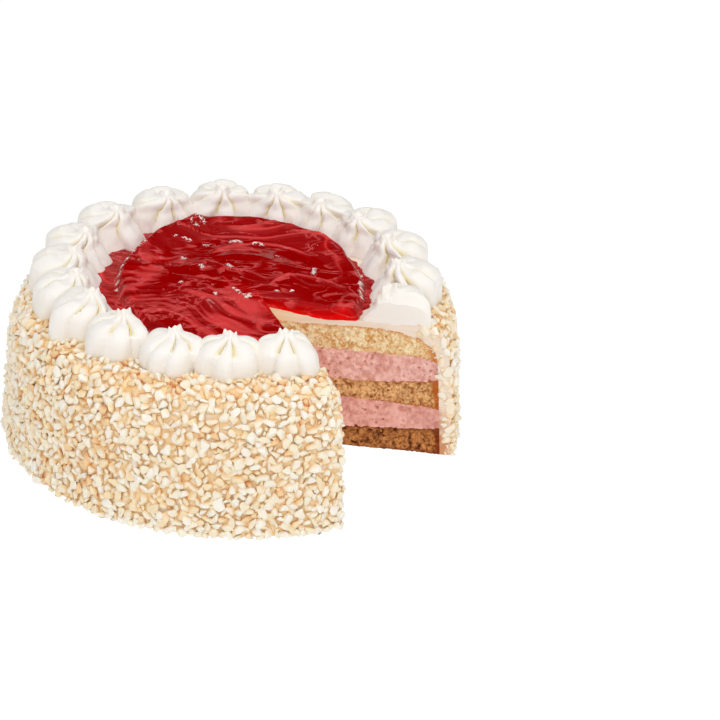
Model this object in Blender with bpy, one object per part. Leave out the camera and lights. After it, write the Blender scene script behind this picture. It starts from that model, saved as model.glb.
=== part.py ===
"""A round raspberry layer cake with one slice cut out of it.

Three sponges and two raspberry creams are stacked under a coat of whipped cream, whose side and
shoulder carry chopped nuts. A pool of raspberry jelly fills the top, inside a ring of piped
rosettes. Every layer runs through the cake and shows in both faces of the cut.

Lengths are in metres and +Z is up. The floor is at height zero and the Z axis is the cake's own
axis. The cut opens towards +X and -Y, and its tip lies beside the axis.
"""

import math
import random

import bmesh
import bpy

# Driving dimensions
BASE_RADIUS = 0.110  # over the nuts, at the floor
GAP = 0.0003  # between neighbouring pieces
FLATNESS = 0.000002  # within which a point counts as lying on a face

# The cut, as two upright planes that meet in its tip
CUT_TIP = (0.0109, -0.0180)
CUT_RIGHT_ANGLE = math.radians(-9.4)
CUT_FRONT_ANGLE = math.radians(-64.7)
TIP_DISTANCE = math.hypot(*CUT_TIP)
SECTORS = 40

# Faces between the layers, each as (distance from the axis, height)
FLOOR = ((0.0, -GAP / 2), (0.060, -GAP / 2), (0.102, -GAP / 2))  # so that the lowest one rests at zero
BOTTOM_SPONGE_TOP = ((0.0, 0.0115), (0.060, 0.0105), (0.075, 0.0115), (0.102, 0.0134))
LOWER_CREAM_TOP = ((0.0, 0.0262), (0.075, 0.0255), (0.101, 0.0236))
MIDDLE_SPONGE_TOP = ((0.0, 0.0356), (0.060, 0.0352), (0.080, 0.0362), (0.100, 0.0387))
UPPER_CREAM_TOP = ((0.0, 0.0503), (0.080, 0.0503), (0.099, 0.0508))
TOP_SPONGE_TOP = ((0.0, 0.0632), (0.040, 0.0622), (0.066, 0.0634), (0.081, 0.0618), (0.090, 0.0592))
TOP_SPONGE_EDGE = (0.0970, 0.0552)  # where its rounded rim turns down

# The stack's side, which leans in towards the top
STACK_RADIUS = 0.1023
STACK_LEAN = 0.065  # inward run for each unit of height

# Cream coat, from its highest point beside the cut's tip to the foot of its side
COAT_TOP = (
    (0.0, 0.0690),
    (0.024, 0.0690),
    (0.033, 0.0668),
    (0.046, 0.0652),
    (0.063, 0.0664),
    (0.088, 0.0662),
)
COAT_SHOULDER = ((0.0950, 0.0645), (0.0990, 0.0615), (0.1025, 0.0535), (0.1047, 0.0440))
NUT_PROUD = 0.0020
COAT_RADIUS = BASE_RADIUS - NUT_PROUD

# Chopped nuts on the side, the shoulder and the outer edge of the top
NUT_COUNT = 190
NUT_LONGEST = 0.0054
NUT_SHORTEST = 0.0042
NUT_CORNERS = 10
NUT_SHOWN = 0.62  # most of its thickness that stands out of the cream
NUT_FLOOR_ROOM = 0.0004
NUT_EDGE_ROOM = 0.0006  # to the cut and to the rosettes
NUT_INNERMOST = 0.084
NUT_TRIES = 14  # places drawn for each nut, of which it takes the emptiest
NUT_SEED = 11

# Raspberry jelly
JELLY_CENTRE = (-0.0008, 0.0016)
JELLY_RADIUS = 0.0625
JELLY_THICKNESS = 0.0068
JELLY_TIP_SHARE = 0.85  # of its thickness, at the cut's tip
JELLY_EDGE = 0.0009  # thickness of its outer edge
JELLY_INNER_ROWS = (0.030, 0.042)  # distances from the axis, where it is fully thick
JELLY_OUTER_ROWS = ((0.80, 0.92), (0.92, 0.66))  # shares of its reach and of its thickness
JELLY_ROSETTE_ROOM = 0.0009
JELLY_RIPPLE = 0.0005

# Rosettes, on a ring that is piped a little off the cake's axis
ROSETTE_RING = 0.0752
ROSETTE_RING_CENTRE = (-0.0014, 0.0026)
ROSETTE_ANGLES = (  # degrees, by hand and so uneven, clockwise from the cut's front face
    -72.5, -91.5, -110.5, -131.0, -149.5, -165.5, -182.5, -199.5, -220.0,
    -243.0, -264.5, -284.5, -302.5, -320.5, -341.0, -361.5, -381.0,
)
ROSETTE_RADIUS = 0.0150
ROSETTE_HEIGHT = 0.0172
ROSETTE_FOOT = 0.0664 + GAP  # on the cream's flat top
ROSETTE_PETALS = 8
ROSETTE_TWIST = math.radians(34)
ROSETTE_LEAN = 0.0012  # of its tip, to a side
ROSETTE_SEED = 5
ROSETTE_ROWS = (  # height and reach as shares of the whole, and the depth of the grooves
    (0.00, 0.90, 0.12),
    (0.24, 1.00, 0.16),
    (0.50, 0.80, 0.22),
    (0.74, 0.48, 0.26),
    (1.00, 0.18, 0.24),
)
ROSETTE_HOLLOW = 0.0012  # depth of the pit left in the tip

ROSETTE_CENTRES = [
    (
        ROSETTE_RING_CENTRE[0] + ROSETTE_RING * math.cos(math.radians(angle)),
        ROSETTE_RING_CENTRE[1] + ROSETTE_RING * math.sin(math.radians(angle)),
    )
    for angle in ROSETTE_ANGLES
]

# Colours, as linear red, green and blue
COLOURS = {
    "sponge": (0.62, 0.36, 0.13),
    "raspberry_cream": (0.80, 0.36, 0.36),
    "whipped_cream": (0.90, 0.87, 0.80),
    "nut_coat": (0.86, 0.74, 0.52),
    "jelly": (0.42, 0.004, 0.008),
}
ROUGHNESS = {
    "sponge": 0.95,
    "raspberry_cream": 0.6,
    "whipped_cream": 0.45,
    "nut_coat": 0.6,
    "jelly": 0.12,
}


def clear_scene():
    """Remove whatever the new file starts with."""
    for item in list(bpy.data.objects):
        bpy.data.objects.remove(item, do_unlink=True)


def make_material(kind, name):
    """Return a plain Principled material in one of the cake's finishes."""
    material = bpy.data.materials.new(name)
    material.use_nodes = True
    shader = material.node_tree.nodes["Principled BSDF"]
    shader.inputs["Base Color"].default_value = (*COLOURS[kind], 1.0)
    shader.inputs["Roughness"].default_value = ROUGHNESS[kind]
    shader.inputs["Metallic"].default_value = 0.0
    return material


def add_object(name, bm, kind):
    """Turn a finished bmesh into an object with its own material."""
    bmesh.ops.triangulate(bm, faces=bm.faces[:])
    bmesh.ops.recalc_face_normals(bm, faces=bm.faces[:])
    mesh = bpy.data.meshes.new(name)
    bm.to_mesh(mesh)
    bm.free()
    item = bpy.data.objects.new(name, mesh)
    item.data.materials.append(make_material(kind, name))
    bpy.context.scene.collection.objects.link(item)
    return item


def height_on(profile, radius):
    """Read a face's height at a distance from the axis, straight between its points."""
    for (near, low), (far, high) in zip(profile, profile[1:]):
        if radius <= far:
            return low + (high - low) * (radius - near) / (far - near)
    return profile[-1][1]


def stack_radius(height):
    """Return how far the stack's side stands from the axis at a height."""
    return STACK_RADIUS - STACK_LEAN * height


def cut_angles():
    """Return the directions from the cut's tip, anticlockwise from its right face to its front one."""
    sweep = 2 * math.pi + CUT_FRONT_ANGLE - CUT_RIGHT_ANGLE
    return [CUT_RIGHT_ANGLE + sweep * i / SECTORS for i in range(SECTORS + 1)]


def ring_point(angle, radius):
    """Follow a direction from the cut's tip out to a circle round the axis."""
    along = (math.cos(angle), math.sin(angle))
    half = CUT_TIP[0] * along[0] + CUT_TIP[1] * along[1]
    rest = CUT_TIP[0] ** 2 + CUT_TIP[1] ** 2 - radius**2
    distance = -half + math.sqrt(half**2 - rest)
    return CUT_TIP[0] + distance * along[0], CUT_TIP[1] + distance * along[1]


def swept_solid(name, kind, tip_top, tip_bottom, outline):
    """Sweep an outline round the cut's tip, from one face of the cut to the other.

    The outline gives, for a direction, the points from the top of the tip round to its bottom, as
    (distance from the axis, height).
    """
    bm = bmesh.new()
    top = bm.verts.new((*CUT_TIP, tip_top))
    bottom = bm.verts.new((*CUT_TIP, tip_bottom))
    columns = []
    for angle in cut_angles():
        column = []
        for radius, height in outline(angle):
            column.append(bm.verts.new((*ring_point(angle, radius), height)))
        columns.append(column)
    for one, other in zip(columns, columns[1:]):
        bm.faces.new((top, one[0], other[0]))
        bm.faces.new((bottom, other[-1], one[-1]))
        for i in range(len(one) - 1):
            bm.faces.new((one[i], one[i + 1], other[i + 1], other[i]))
    bm.faces.new([top, bottom, *reversed(columns[0])])
    bm.faces.new([bottom, top, *columns[-1]])
    return add_object(name, bm, kind)


def rows_of(profile, lift):
    """Return the points of a face that lie beyond the cut's tip, moved up by a lift."""
    return [(radius, height + lift) for radius, height in profile if radius > TIP_DISTANCE]


def make_layer(name, kind, top, bottom, edge=None):
    """Make one layer of the stack between the face above it and the face below it.

    Its rim follows the stack's side, or turns down over an edge point where one is given.
    """
    upper = rows_of(top, -GAP / 2)
    lower = rows_of(bottom, GAP / 2)
    if edge:
        shoulder = [upper[-1], edge]
    else:
        shoulder = [(stack_radius(upper[-1][1]), upper[-1][1])]
    foot = (stack_radius(lower[-1][1]), lower[-1][1])
    points = [*upper[:-1], *shoulder, foot, *reversed(lower[:-1])]
    tip_top = height_on(top, TIP_DISTANCE) - GAP / 2
    tip_bottom = height_on(bottom, TIP_DISTANCE) + GAP / 2
    return swept_solid(name, kind, tip_top, tip_bottom, lambda angle: points)


def coat_outline():
    """Return the outside of the cream coat, from beside the cut's tip down to the floor."""
    return [*rows_of(COAT_TOP, 0.0), *COAT_SHOULDER, (COAT_RADIUS, 0.0)]


def make_coat():
    """Make the cream over the stack's top and side, one piece with an open underside."""
    edge_radius, edge_height = TOP_SPONGE_EDGE
    shelf = UPPER_CREAM_TOP[-1][1]
    inside = [
        (stack_radius(0.0) + GAP, 0.0),
        (stack_radius(shelf) + GAP, shelf),
        (edge_radius + GAP, edge_height + GAP),
        *reversed(rows_of(TOP_SPONGE_TOP, GAP / 2)),
    ]
    points = [*coat_outline(), *inside]
    top = height_on(COAT_TOP, TIP_DISTANCE)
    under = height_on(TOP_SPONGE_TOP, TIP_DISTANCE) + GAP / 2
    return swept_solid("cream_coat", "nut_coat", top, under, lambda angle: points)


def cut_distance(point, angle, side):
    """Return how far a point lies from one face of the cut, into the cake."""
    across = (-math.sin(angle) * side, math.cos(angle) * side)
    return (point[0] - CUT_TIP[0]) * across[0] + (point[1] - CUT_TIP[1]) * across[1]


def rosette_walls(index):
    """Return the upright planes that bound a rosette, as (direction, distance) from its middle."""
    centre = ROSETTE_CENTRES[index]
    walls = []
    for other in ROSETTE_CENTRES[max(index - 1, 0) : index + 2]:
        apart = math.dist(centre, other)
        if apart > 0:
            toward = math.atan2(other[1] - centre[1], other[0] - centre[0])
            walls.append((toward, apart / 2 - GAP / 2))
    if index == 0:
        walls.append((CUT_FRONT_ANGLE + math.pi / 2, cut_distance(centre, CUT_FRONT_ANGLE, -1)))
    if index == len(ROSETTE_CENTRES) - 1:
        walls.append((CUT_RIGHT_ANGLE - math.pi / 2, cut_distance(centre, CUT_RIGHT_ANGLE, 1)))
    return walls


def held_back(x, y, walls):
    """Pull a point straight towards the rosette's middle until no wall has it outside."""
    for toward, distance in walls:
        beyond = x * math.cos(toward) + y * math.sin(toward)
        if beyond > distance:
            x *= distance / beyond
            y *= distance / beyond
    return x, y


def make_rosette(index, draw):
    """Pipe one rosette: a pointed dome of twisted petals, flat against its neighbours and the cut."""
    centre = ROSETTE_CENTRES[index]
    walls = rosette_walls(index)
    turn = draw.uniform(0, math.tau)
    tall = ROSETTE_HEIGHT * draw.uniform(0.95, 1.03)
    wide = ROSETTE_RADIUS * draw.uniform(0.97, 1.0)
    lean = draw.uniform(0, math.tau)
    sides = 2 * ROSETTE_PETALS
    bm = bmesh.new()
    rings = []
    for rise, reach, groove in ROSETTE_ROWS:
        shift = ROSETTE_LEAN * rise**2
        ring = []
        for i in range(sides):
            angle = turn + ROSETTE_TWIST * rise + math.tau * i / sides
            radius = wide * reach * (1 - groove * (i % 2))
            x = radius * math.cos(angle) + shift * math.cos(lean)
            y = radius * math.sin(angle) + shift * math.sin(lean)
            x, y = held_back(x, y, walls)
            ring.append(bm.verts.new((centre[0] + x, centre[1] + y, ROSETTE_FOOT + tall * rise)))
        rings.append(ring)
    for low, high in zip(rings, rings[1:]):
        for i in range(sides):
            j = (i + 1) % sides
            bm.faces.new((low[i], low[j], high[j], high[i]))
    pit = bm.verts.new((
        centre[0] + ROSETTE_LEAN * math.cos(lean),
        centre[1] + ROSETTE_LEAN * math.sin(lean),
        ROSETTE_FOOT + tall - ROSETTE_HOLLOW,
    ))
    for i in range(sides):
        bm.faces.new((rings[-1][i], rings[-1][(i + 1) % sides], pit))
    bm.faces.new(list(reversed(rings[0])))
    return add_object(f"rosette_{index + 1:02d}", bm, "whipped_cream")


def jelly_radius(angle):
    """Return how far the jelly runs in a direction from the cut's tip, measured from the axis."""
    radius = JELLY_RADIUS
    room = ROSETTE_RADIUS + JELLY_ROSETTE_ROOM
    while radius > JELLY_RADIUS / 2:
        place = ring_point(angle, radius)
        inside = math.dist(place, JELLY_CENTRE) <= JELLY_RADIUS
        if inside and all(math.dist(place, centre) >= room for centre in ROSETTE_CENTRES):
            break
        radius -= GAP
    return radius


def jelly_outline(angle):
    """Return the jelly's section in one direction: a thick pool with a thin, rounded edge."""
    reach = jelly_radius(angle)
    points = []
    for row, radius in enumerate(JELLY_INNER_ROWS):
        ripple = JELLY_RIPPLE * math.sin(3 * angle + 2.1 * row)
        points.append((radius, height_on(COAT_TOP, radius) + GAP + JELLY_THICKNESS + ripple))
    for row, (share, thick) in enumerate(JELLY_OUTER_ROWS):
        radius = reach * share
        ripple = JELLY_RIPPLE * math.sin(4 * angle + 1.3 * row) * (1 - share)
        points.append((radius, height_on(COAT_TOP, radius) + GAP + JELLY_THICKNESS * thick + ripple))
    rim = height_on(COAT_TOP, reach) + GAP
    points.append((reach, rim + JELLY_EDGE))
    points.append((reach, rim))
    inner = JELLY_INNER_ROWS[-1] + JELLY_THICKNESS
    points.extend(row for row in reversed(rows_of(COAT_TOP, GAP)) if row[0] < inner)
    return points


def make_jelly():
    """Make the pool of jelly, cut off flush with both faces of the cut."""
    foot = height_on(COAT_TOP, TIP_DISTANCE) + GAP
    top = foot + JELLY_THICKNESS * JELLY_TIP_SHARE
    return swept_solid("raspberry_jelly", "jelly", top, foot, jelly_outline)


def coat_place(share):
    """Return a point part of the way down the nutted cream, with the way out of the cream there."""
    line = [point for point in coat_outline() if point[0] >= NUT_INNERMOST]
    line.insert(0, (NUT_INNERMOST, COAT_TOP[-1][1]))
    lengths = [math.dist(a, b) for a, b in zip(line, line[1:])]
    left = share * sum(lengths)
    for (a, b), length in zip(zip(line, line[1:]), lengths):
        if left <= length:
            part = left / length
            place = (a[0] + (b[0] - a[0]) * part, a[1] + (b[1] - a[1]) * part)
            return place, ((a[1] - b[1]) / length, (b[0] - a[0]) / length)
        left -= length
    return line[-1], (1.0, 0.0)


def nut_corners(length, draw):
    """Return the corners of one chopped nut about its middle, as (along, across, out)."""
    width = length * draw.uniform(0.62, 0.85)
    thick = length * draw.uniform(0.55, 0.72)
    corners = []
    for i in range(NUT_CORNERS):
        level = 1 - 2 * (i + 0.5) / NUT_CORNERS
        angle = i * math.pi * (3 - math.sqrt(5)) + draw.uniform(-0.3, 0.3)
        belt = math.sqrt(1 - level**2)
        corners.append((
            length / 2 * level * draw.uniform(0.8, 1.0),
            width / 2 * belt * math.cos(angle) * draw.uniform(0.8, 1.0),
            thick / 2 * belt * math.sin(angle) * draw.uniform(0.8, 1.0),
        ))
    return corners


def nut_place(draw, length, taken):
    """Draw several places on the cream and return the one farthest from the nuts already there."""
    best = None
    widest = 0.0
    for _ in range(NUT_TRIES):
        (radius, height), out = coat_place(draw.random())
        azimuth = draw.uniform(0, math.tau)
        middle = (math.cos(azimuth) * radius, math.sin(azimuth) * radius, height)
        if not nut_fits(middle, length):
            continue
        apart = min((math.dist(middle, other) for other in taken), default=BASE_RADIUS)
        if apart > widest:
            widest = apart
            best = (middle, azimuth, out)
    return best


def nut_fits(middle, length):
    """Tell whether a nut at a place stays clear of the cut and of the rosettes."""
    room = length / 2 + NUT_EDGE_ROOM
    beside_right = cut_distance(middle, CUT_RIGHT_ANGLE, 1)
    beside_front = cut_distance(middle, CUT_FRONT_ANGLE, -1)
    if max(beside_right, beside_front) < room:
        return False
    if middle[2] + length < COAT_TOP[-1][1]:
        return True
    return all(math.dist(middle[:2], centre) > ROSETTE_RADIUS + room for centre in ROSETTE_CENTRES)


def make_nut(number, place, length, draw):
    """Make one chopped nut, turned at random and partly sunk in the cream."""
    middle, azimuth, out = place
    outward = (math.cos(azimuth) * out[0], math.sin(azimuth) * out[0], out[1])
    around = (-math.sin(azimuth), math.cos(azimuth), 0.0)
    upward = (-math.cos(azimuth) * out[1], -math.sin(azimuth) * out[1], out[0])
    turn = draw.uniform(0, math.pi)
    corners = nut_corners(length, draw)
    top = max(corner[2] for corner in corners)
    thick = top - min(corner[2] for corner in corners)
    sunk = top - min(NUT_PROUD, NUT_SHOWN * thick)
    bm = bmesh.new()
    for along, across, deep in corners:
        a = along * math.cos(turn) - across * math.sin(turn)
        b = along * math.sin(turn) + across * math.cos(turn)
        point = [
            middle[i] + a * around[i] + b * upward[i] + (deep - sunk) * outward[i] for i in range(3)
        ]
        point[2] = max(point[2], NUT_FLOOR_ROOM)
        bm.verts.new(point)
    bmesh.ops.convex_hull(bm, input=bm.verts[:])
    loose = [vert for vert in bm.verts if not vert.link_faces]
    bmesh.ops.delete(bm, geom=loose, context="VERTS")
    return add_object(f"nut_{number}", bm, "nut_coat")


def mend_cut_faces(mesh):
    """Divide each flat face of the cut again, into triangles that stay inside its outline."""
    bm = bmesh.new()
    bm.from_mesh(mesh)
    for angle, side in ((CUT_RIGHT_ANGLE, 1), (CUT_FRONT_ANGLE, -1)):
        flat = [
            face
            for face in bm.faces
            if all(abs(cut_distance(vert.co, angle, side)) < FLATNESS for vert in face.verts)
        ]
        region = bmesh.ops.dissolve_faces(bm, faces=flat)["region"]
        bmesh.ops.triangulate(bm, faces=region, ngon_method="EAR_CLIP")
    bm.to_mesh(mesh)
    bm.free()


def fuse_nuts(coat):
    """Spread the chopped nuts over the cream, the largest first, and join them to it."""
    draw = random.Random(NUT_SEED)
    nuts = bpy.data.collections.new("nuts")
    bpy.context.scene.collection.children.link(nuts)
    taken = []
    for number in range(NUT_COUNT):
        length = NUT_LONGEST + (NUT_SHORTEST - NUT_LONGEST) * number / NUT_COUNT
        place = nut_place(draw, length, taken)
        if place is None:
            continue
        taken.append(place[0])
        nut = make_nut(number, place, length, draw)
        bpy.context.scene.collection.objects.unlink(nut)
        nuts.objects.link(nut)
    union = coat.modifiers.new("nuts", "BOOLEAN")
    union.operation = "UNION"
    union.solver = "MANIFOLD"
    union.operand_type = "COLLECTION"
    union.collection = nuts
    bpy.context.view_layer.update()
    seen = coat.evaluated_get(bpy.context.evaluated_depsgraph_get())
    joined = bpy.data.meshes.new_from_object(seen)
    coat.modifiers.clear()
    plain = coat.data
    coat.data = joined
    bpy.data.meshes.remove(plain)
    joined.materials.clear()
    joined.materials.append(bpy.data.materials["cream_coat"])
    joined.polygons.foreach_set("material_index", [0] * len(joined.polygons))
    mend_cut_faces(joined)
    for nut in list(nuts.objects):
        bpy.data.objects.remove(nut, do_unlink=True)
    bpy.data.collections.remove(nuts)


def build_cake():
    """Stack the cake from the floor up."""
    clear_scene()
    make_layer("sponge_bottom", "sponge", BOTTOM_SPONGE_TOP, FLOOR)
    make_layer("raspberry_cream_lower", "raspberry_cream", LOWER_CREAM_TOP, BOTTOM_SPONGE_TOP)
    make_layer("sponge_middle", "sponge", MIDDLE_SPONGE_TOP, LOWER_CREAM_TOP)
    make_layer("raspberry_cream_upper", "raspberry_cream", UPPER_CREAM_TOP, MIDDLE_SPONGE_TOP)
    make_layer("sponge_top", "sponge", TOP_SPONGE_TOP, UPPER_CREAM_TOP, TOP_SPONGE_EDGE)
    fuse_nuts(make_coat())
    make_jelly()
    draw = random.Random(ROSETTE_SEED)
    for index in range(len(ROSETTE_CENTRES)):
        make_rosette(index, draw)


build_cake()
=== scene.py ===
"""Looks of a round raspberry layer cake from which one slice has been cut.

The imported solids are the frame. Every piece here stands in their coordinates, in metres,
with +Z up and the cake's axis on the origin, and replaces the solids that it stands for.
"""

from __future__ import annotations

import itertools
import logging
import math
from dataclasses import dataclass
from enum import Enum
from functools import cached_property

import bmesh
import bpy
import numpy as np
from mathutils import Matrix, Vector

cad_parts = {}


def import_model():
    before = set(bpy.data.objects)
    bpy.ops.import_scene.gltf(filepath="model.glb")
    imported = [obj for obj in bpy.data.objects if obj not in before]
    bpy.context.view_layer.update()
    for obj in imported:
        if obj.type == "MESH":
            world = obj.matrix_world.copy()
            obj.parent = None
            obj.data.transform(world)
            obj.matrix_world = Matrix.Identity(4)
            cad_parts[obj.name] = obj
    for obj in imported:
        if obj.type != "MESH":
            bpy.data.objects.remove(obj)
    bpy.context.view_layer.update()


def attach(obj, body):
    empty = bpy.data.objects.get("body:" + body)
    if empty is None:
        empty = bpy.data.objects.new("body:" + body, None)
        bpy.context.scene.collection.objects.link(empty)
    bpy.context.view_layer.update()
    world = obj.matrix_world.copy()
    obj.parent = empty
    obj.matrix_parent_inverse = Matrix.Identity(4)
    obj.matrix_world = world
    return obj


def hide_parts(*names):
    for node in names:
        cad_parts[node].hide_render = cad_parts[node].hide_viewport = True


LOG = logging.getLogger("cake")
BODY = "root"

Array = np.ndarray
Pair = tuple[float, float]
Triple = tuple[float, float, float]
Profile = tuple[Pair, ...]
Rgba = tuple[float, float, float, float]


def paint(red: int, green: int, blue: int) -> Rgba:
    """Turn a screen colour into the linear colour that shaders use.

    Args:
        red: red on the screen, from 0 to 255.
        green: green on the screen, from 0 to 255.
        blue: blue on the screen, from 0 to 255.

    Returns:
        The linear colour, with full alpha.
    """
    knee, foot, slope = 0.04045, 12.92, 0.055
    linear = [
        part / foot if part <= knee else ((part + slope) / (1 + slope)) ** 2.4
        for part in (red / 255, green / 255, blue / 255)
    ]
    return (*linear, 1.0)


def ease(share: Array) -> Array:
    """Bend shares from 0 to 1 into a slow start and a slow end."""
    held = np.clip(share, 0.0, 1.0)
    return held * held * (3 - 2 * held)


def ramp(values: Array, start: float, width: float) -> Array:
    """Rise softly from 0 at a start to 1 at a width further on."""
    return ease((values - start) / width)


def bell(values: Array) -> Array:
    """Fall from 1 at 0 to almost nothing 2 away from it."""
    return np.exp(-(values**2))


def length(vectors: Array) -> Array:
    """Give the lengths of vectors, whose coordinates are in the last axis."""
    return np.linalg.norm(vectors, axis=-1)


def lifted(plan: Array, heights: Array | float) -> Array:
    """Stand places of the plan at heights of their own or at one height."""
    return np.concatenate((plan, np.broadcast_to(heights, plan.shape[:-1])[..., None]), axis=-1)


def height_on(profile: Profile, radius: Array) -> Array:
    """Read heights off a turned profile of radii and heights, which runs outwards."""
    return np.interp(radius, *np.transpose(profile))


def clearance(plan: Array, spots: Array) -> Array:
    """Give the distance from places on the plan to the nearest of some spots."""
    return length(plan[..., None, :] - spots).min(axis=-1)


def measured(plan: Array, centre: Pair) -> tuple[Array, Array]:
    """Measure places from a centre, by directions in degrees from 0 to 360 and by distances."""
    apart = plan - np.array(centre)
    return np.degrees(np.arctan2(apart[..., 1], apart[..., 0])) % 360, length(apart)


def curve_through(points: Array, count: int) -> Array:
    """Lay a smooth curve through points.

    Args:
        points: the points to pass, one in each row.
        count: how many points the curve has.

    Returns:
        Points along a Catmull-Rom curve, one in each row.
    """
    knots = np.vstack((2 * points[0] - points[1], points, 2 * points[-1] - points[-2]))
    place = np.linspace(0, len(points) - 1, count)
    span = np.minimum(place.astype(int), len(points) - 2)
    part = (place - span)[:, None]
    before, start, end, after = (knots[span + i] for i in range(4))
    return start + 0.5 * part * (
        end - before
        + part * (2 * before - 5 * start + 4 * end - after + part * (3 * (start - end) + after - before))
    )


def between(first: Array, last: Array, count: int) -> Array:
    """Fill the room between two sheets of points, so that there are a count of sheets with these two."""
    return first[:, :, None] + np.linspace(0, 1, count)[:, None] * (last - first)[:, :, None]


SEED_PRIME = 2654435761
AXIS_PRIMES = (73856093, 19349663, 83492791)
STIR_PRIMES = (1274126177, 2246822519)
LOW_BITS = np.uint64(2**32 - 1)
LOUDEST_HILLS = 1.6


@dataclass(frozen=True)
class Grain:
    """Seeded unevenness in space, the same on every run.

    Args:
        seed: a whole number that tells one grain from another.
    """

    seed: int

    def draw(self, cells: Array) -> Array:
        """Give each whole cell of space its own number.

        Args:
            cells: whole coordinates, three in the last axis.

        Returns:
            Numbers from 0 to 1.
        """
        mixed = np.full(cells.shape[:-1], self.seed * SEED_PRIME % 2**32, np.uint64)
        for axis, prime in enumerate(AXIS_PRIMES):
            whole = cells[..., axis].astype(np.int64).astype(np.uint64) & LOW_BITS
            mixed ^= whole * np.uint64(prime) & LOW_BITS
        for prime in STIR_PRIMES:
            mixed ^= mixed >> np.uint64(13)
            mixed = mixed * np.uint64(prime) & LOW_BITS
        return (mixed ^ (mixed >> np.uint64(16))).astype(float) / 2**32

    def swell(self, points: Array, size: float | Triple) -> Array:
        """Make soft hills and hollows.

        Args:
            points: places in space, three coordinates in the last axis.
            size: how far apart the hills are, in metres, alike or for each axis.

        Returns:
            Heights from -1 to 1.
        """
        spot = points / np.asarray(size)
        low = np.floor(spot)
        part = ease(spot - low)
        total = np.zeros(points.shape[:-1])
        for corner in itertools.product((0, 1), repeat=3):
            weight = np.prod(np.where(np.array(corner) == 1, part, 1 - part), axis=-1)
            total += weight * self.draw(low + corner)
        return 2 * total - 1

    def rough(self, points: Array, size: float) -> Array:
        """Add two layers of finer hills to hills a size apart, which gives heights of about -1 to 1."""
        layers = (Grain(self.seed + layer).swell(points, size / 2**layer) / 2**layer for layer in range(3))
        return sum(layers) / LOUDEST_HILLS

    def crumbs(self, points: Array, size: float) -> tuple[Array, Array]:
        """Find the nearest of many scattered crumb centres.

        Args:
            points: places in space.
            size: how far apart the centres are, in metres.

        Returns:
            The distance to it as a share of the size, and that crumb's own number from 0 to 1.
        """
        spot = points / size
        low = np.floor(spot)
        nearest = np.full(points.shape[:-1], np.inf)
        number = np.zeros(points.shape[:-1])
        for corner in itertools.product((-1, 0, 1), repeat=3):
            cell = low + corner
            shift = np.stack([Grain(self.seed + 7 * axis).draw(cell) for axis in range(3)], axis=-1)
            apart = length(cell + shift - spot)
            number = np.where(apart < nearest, shift[..., 0], number)
            nearest = np.minimum(apart, nearest)
        return nearest, number


class Face(Enum):
    """The two faces that the knife left, each with the number of its ray in a lattice."""

    RIGHT = 0
    FRONT = -1


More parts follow.
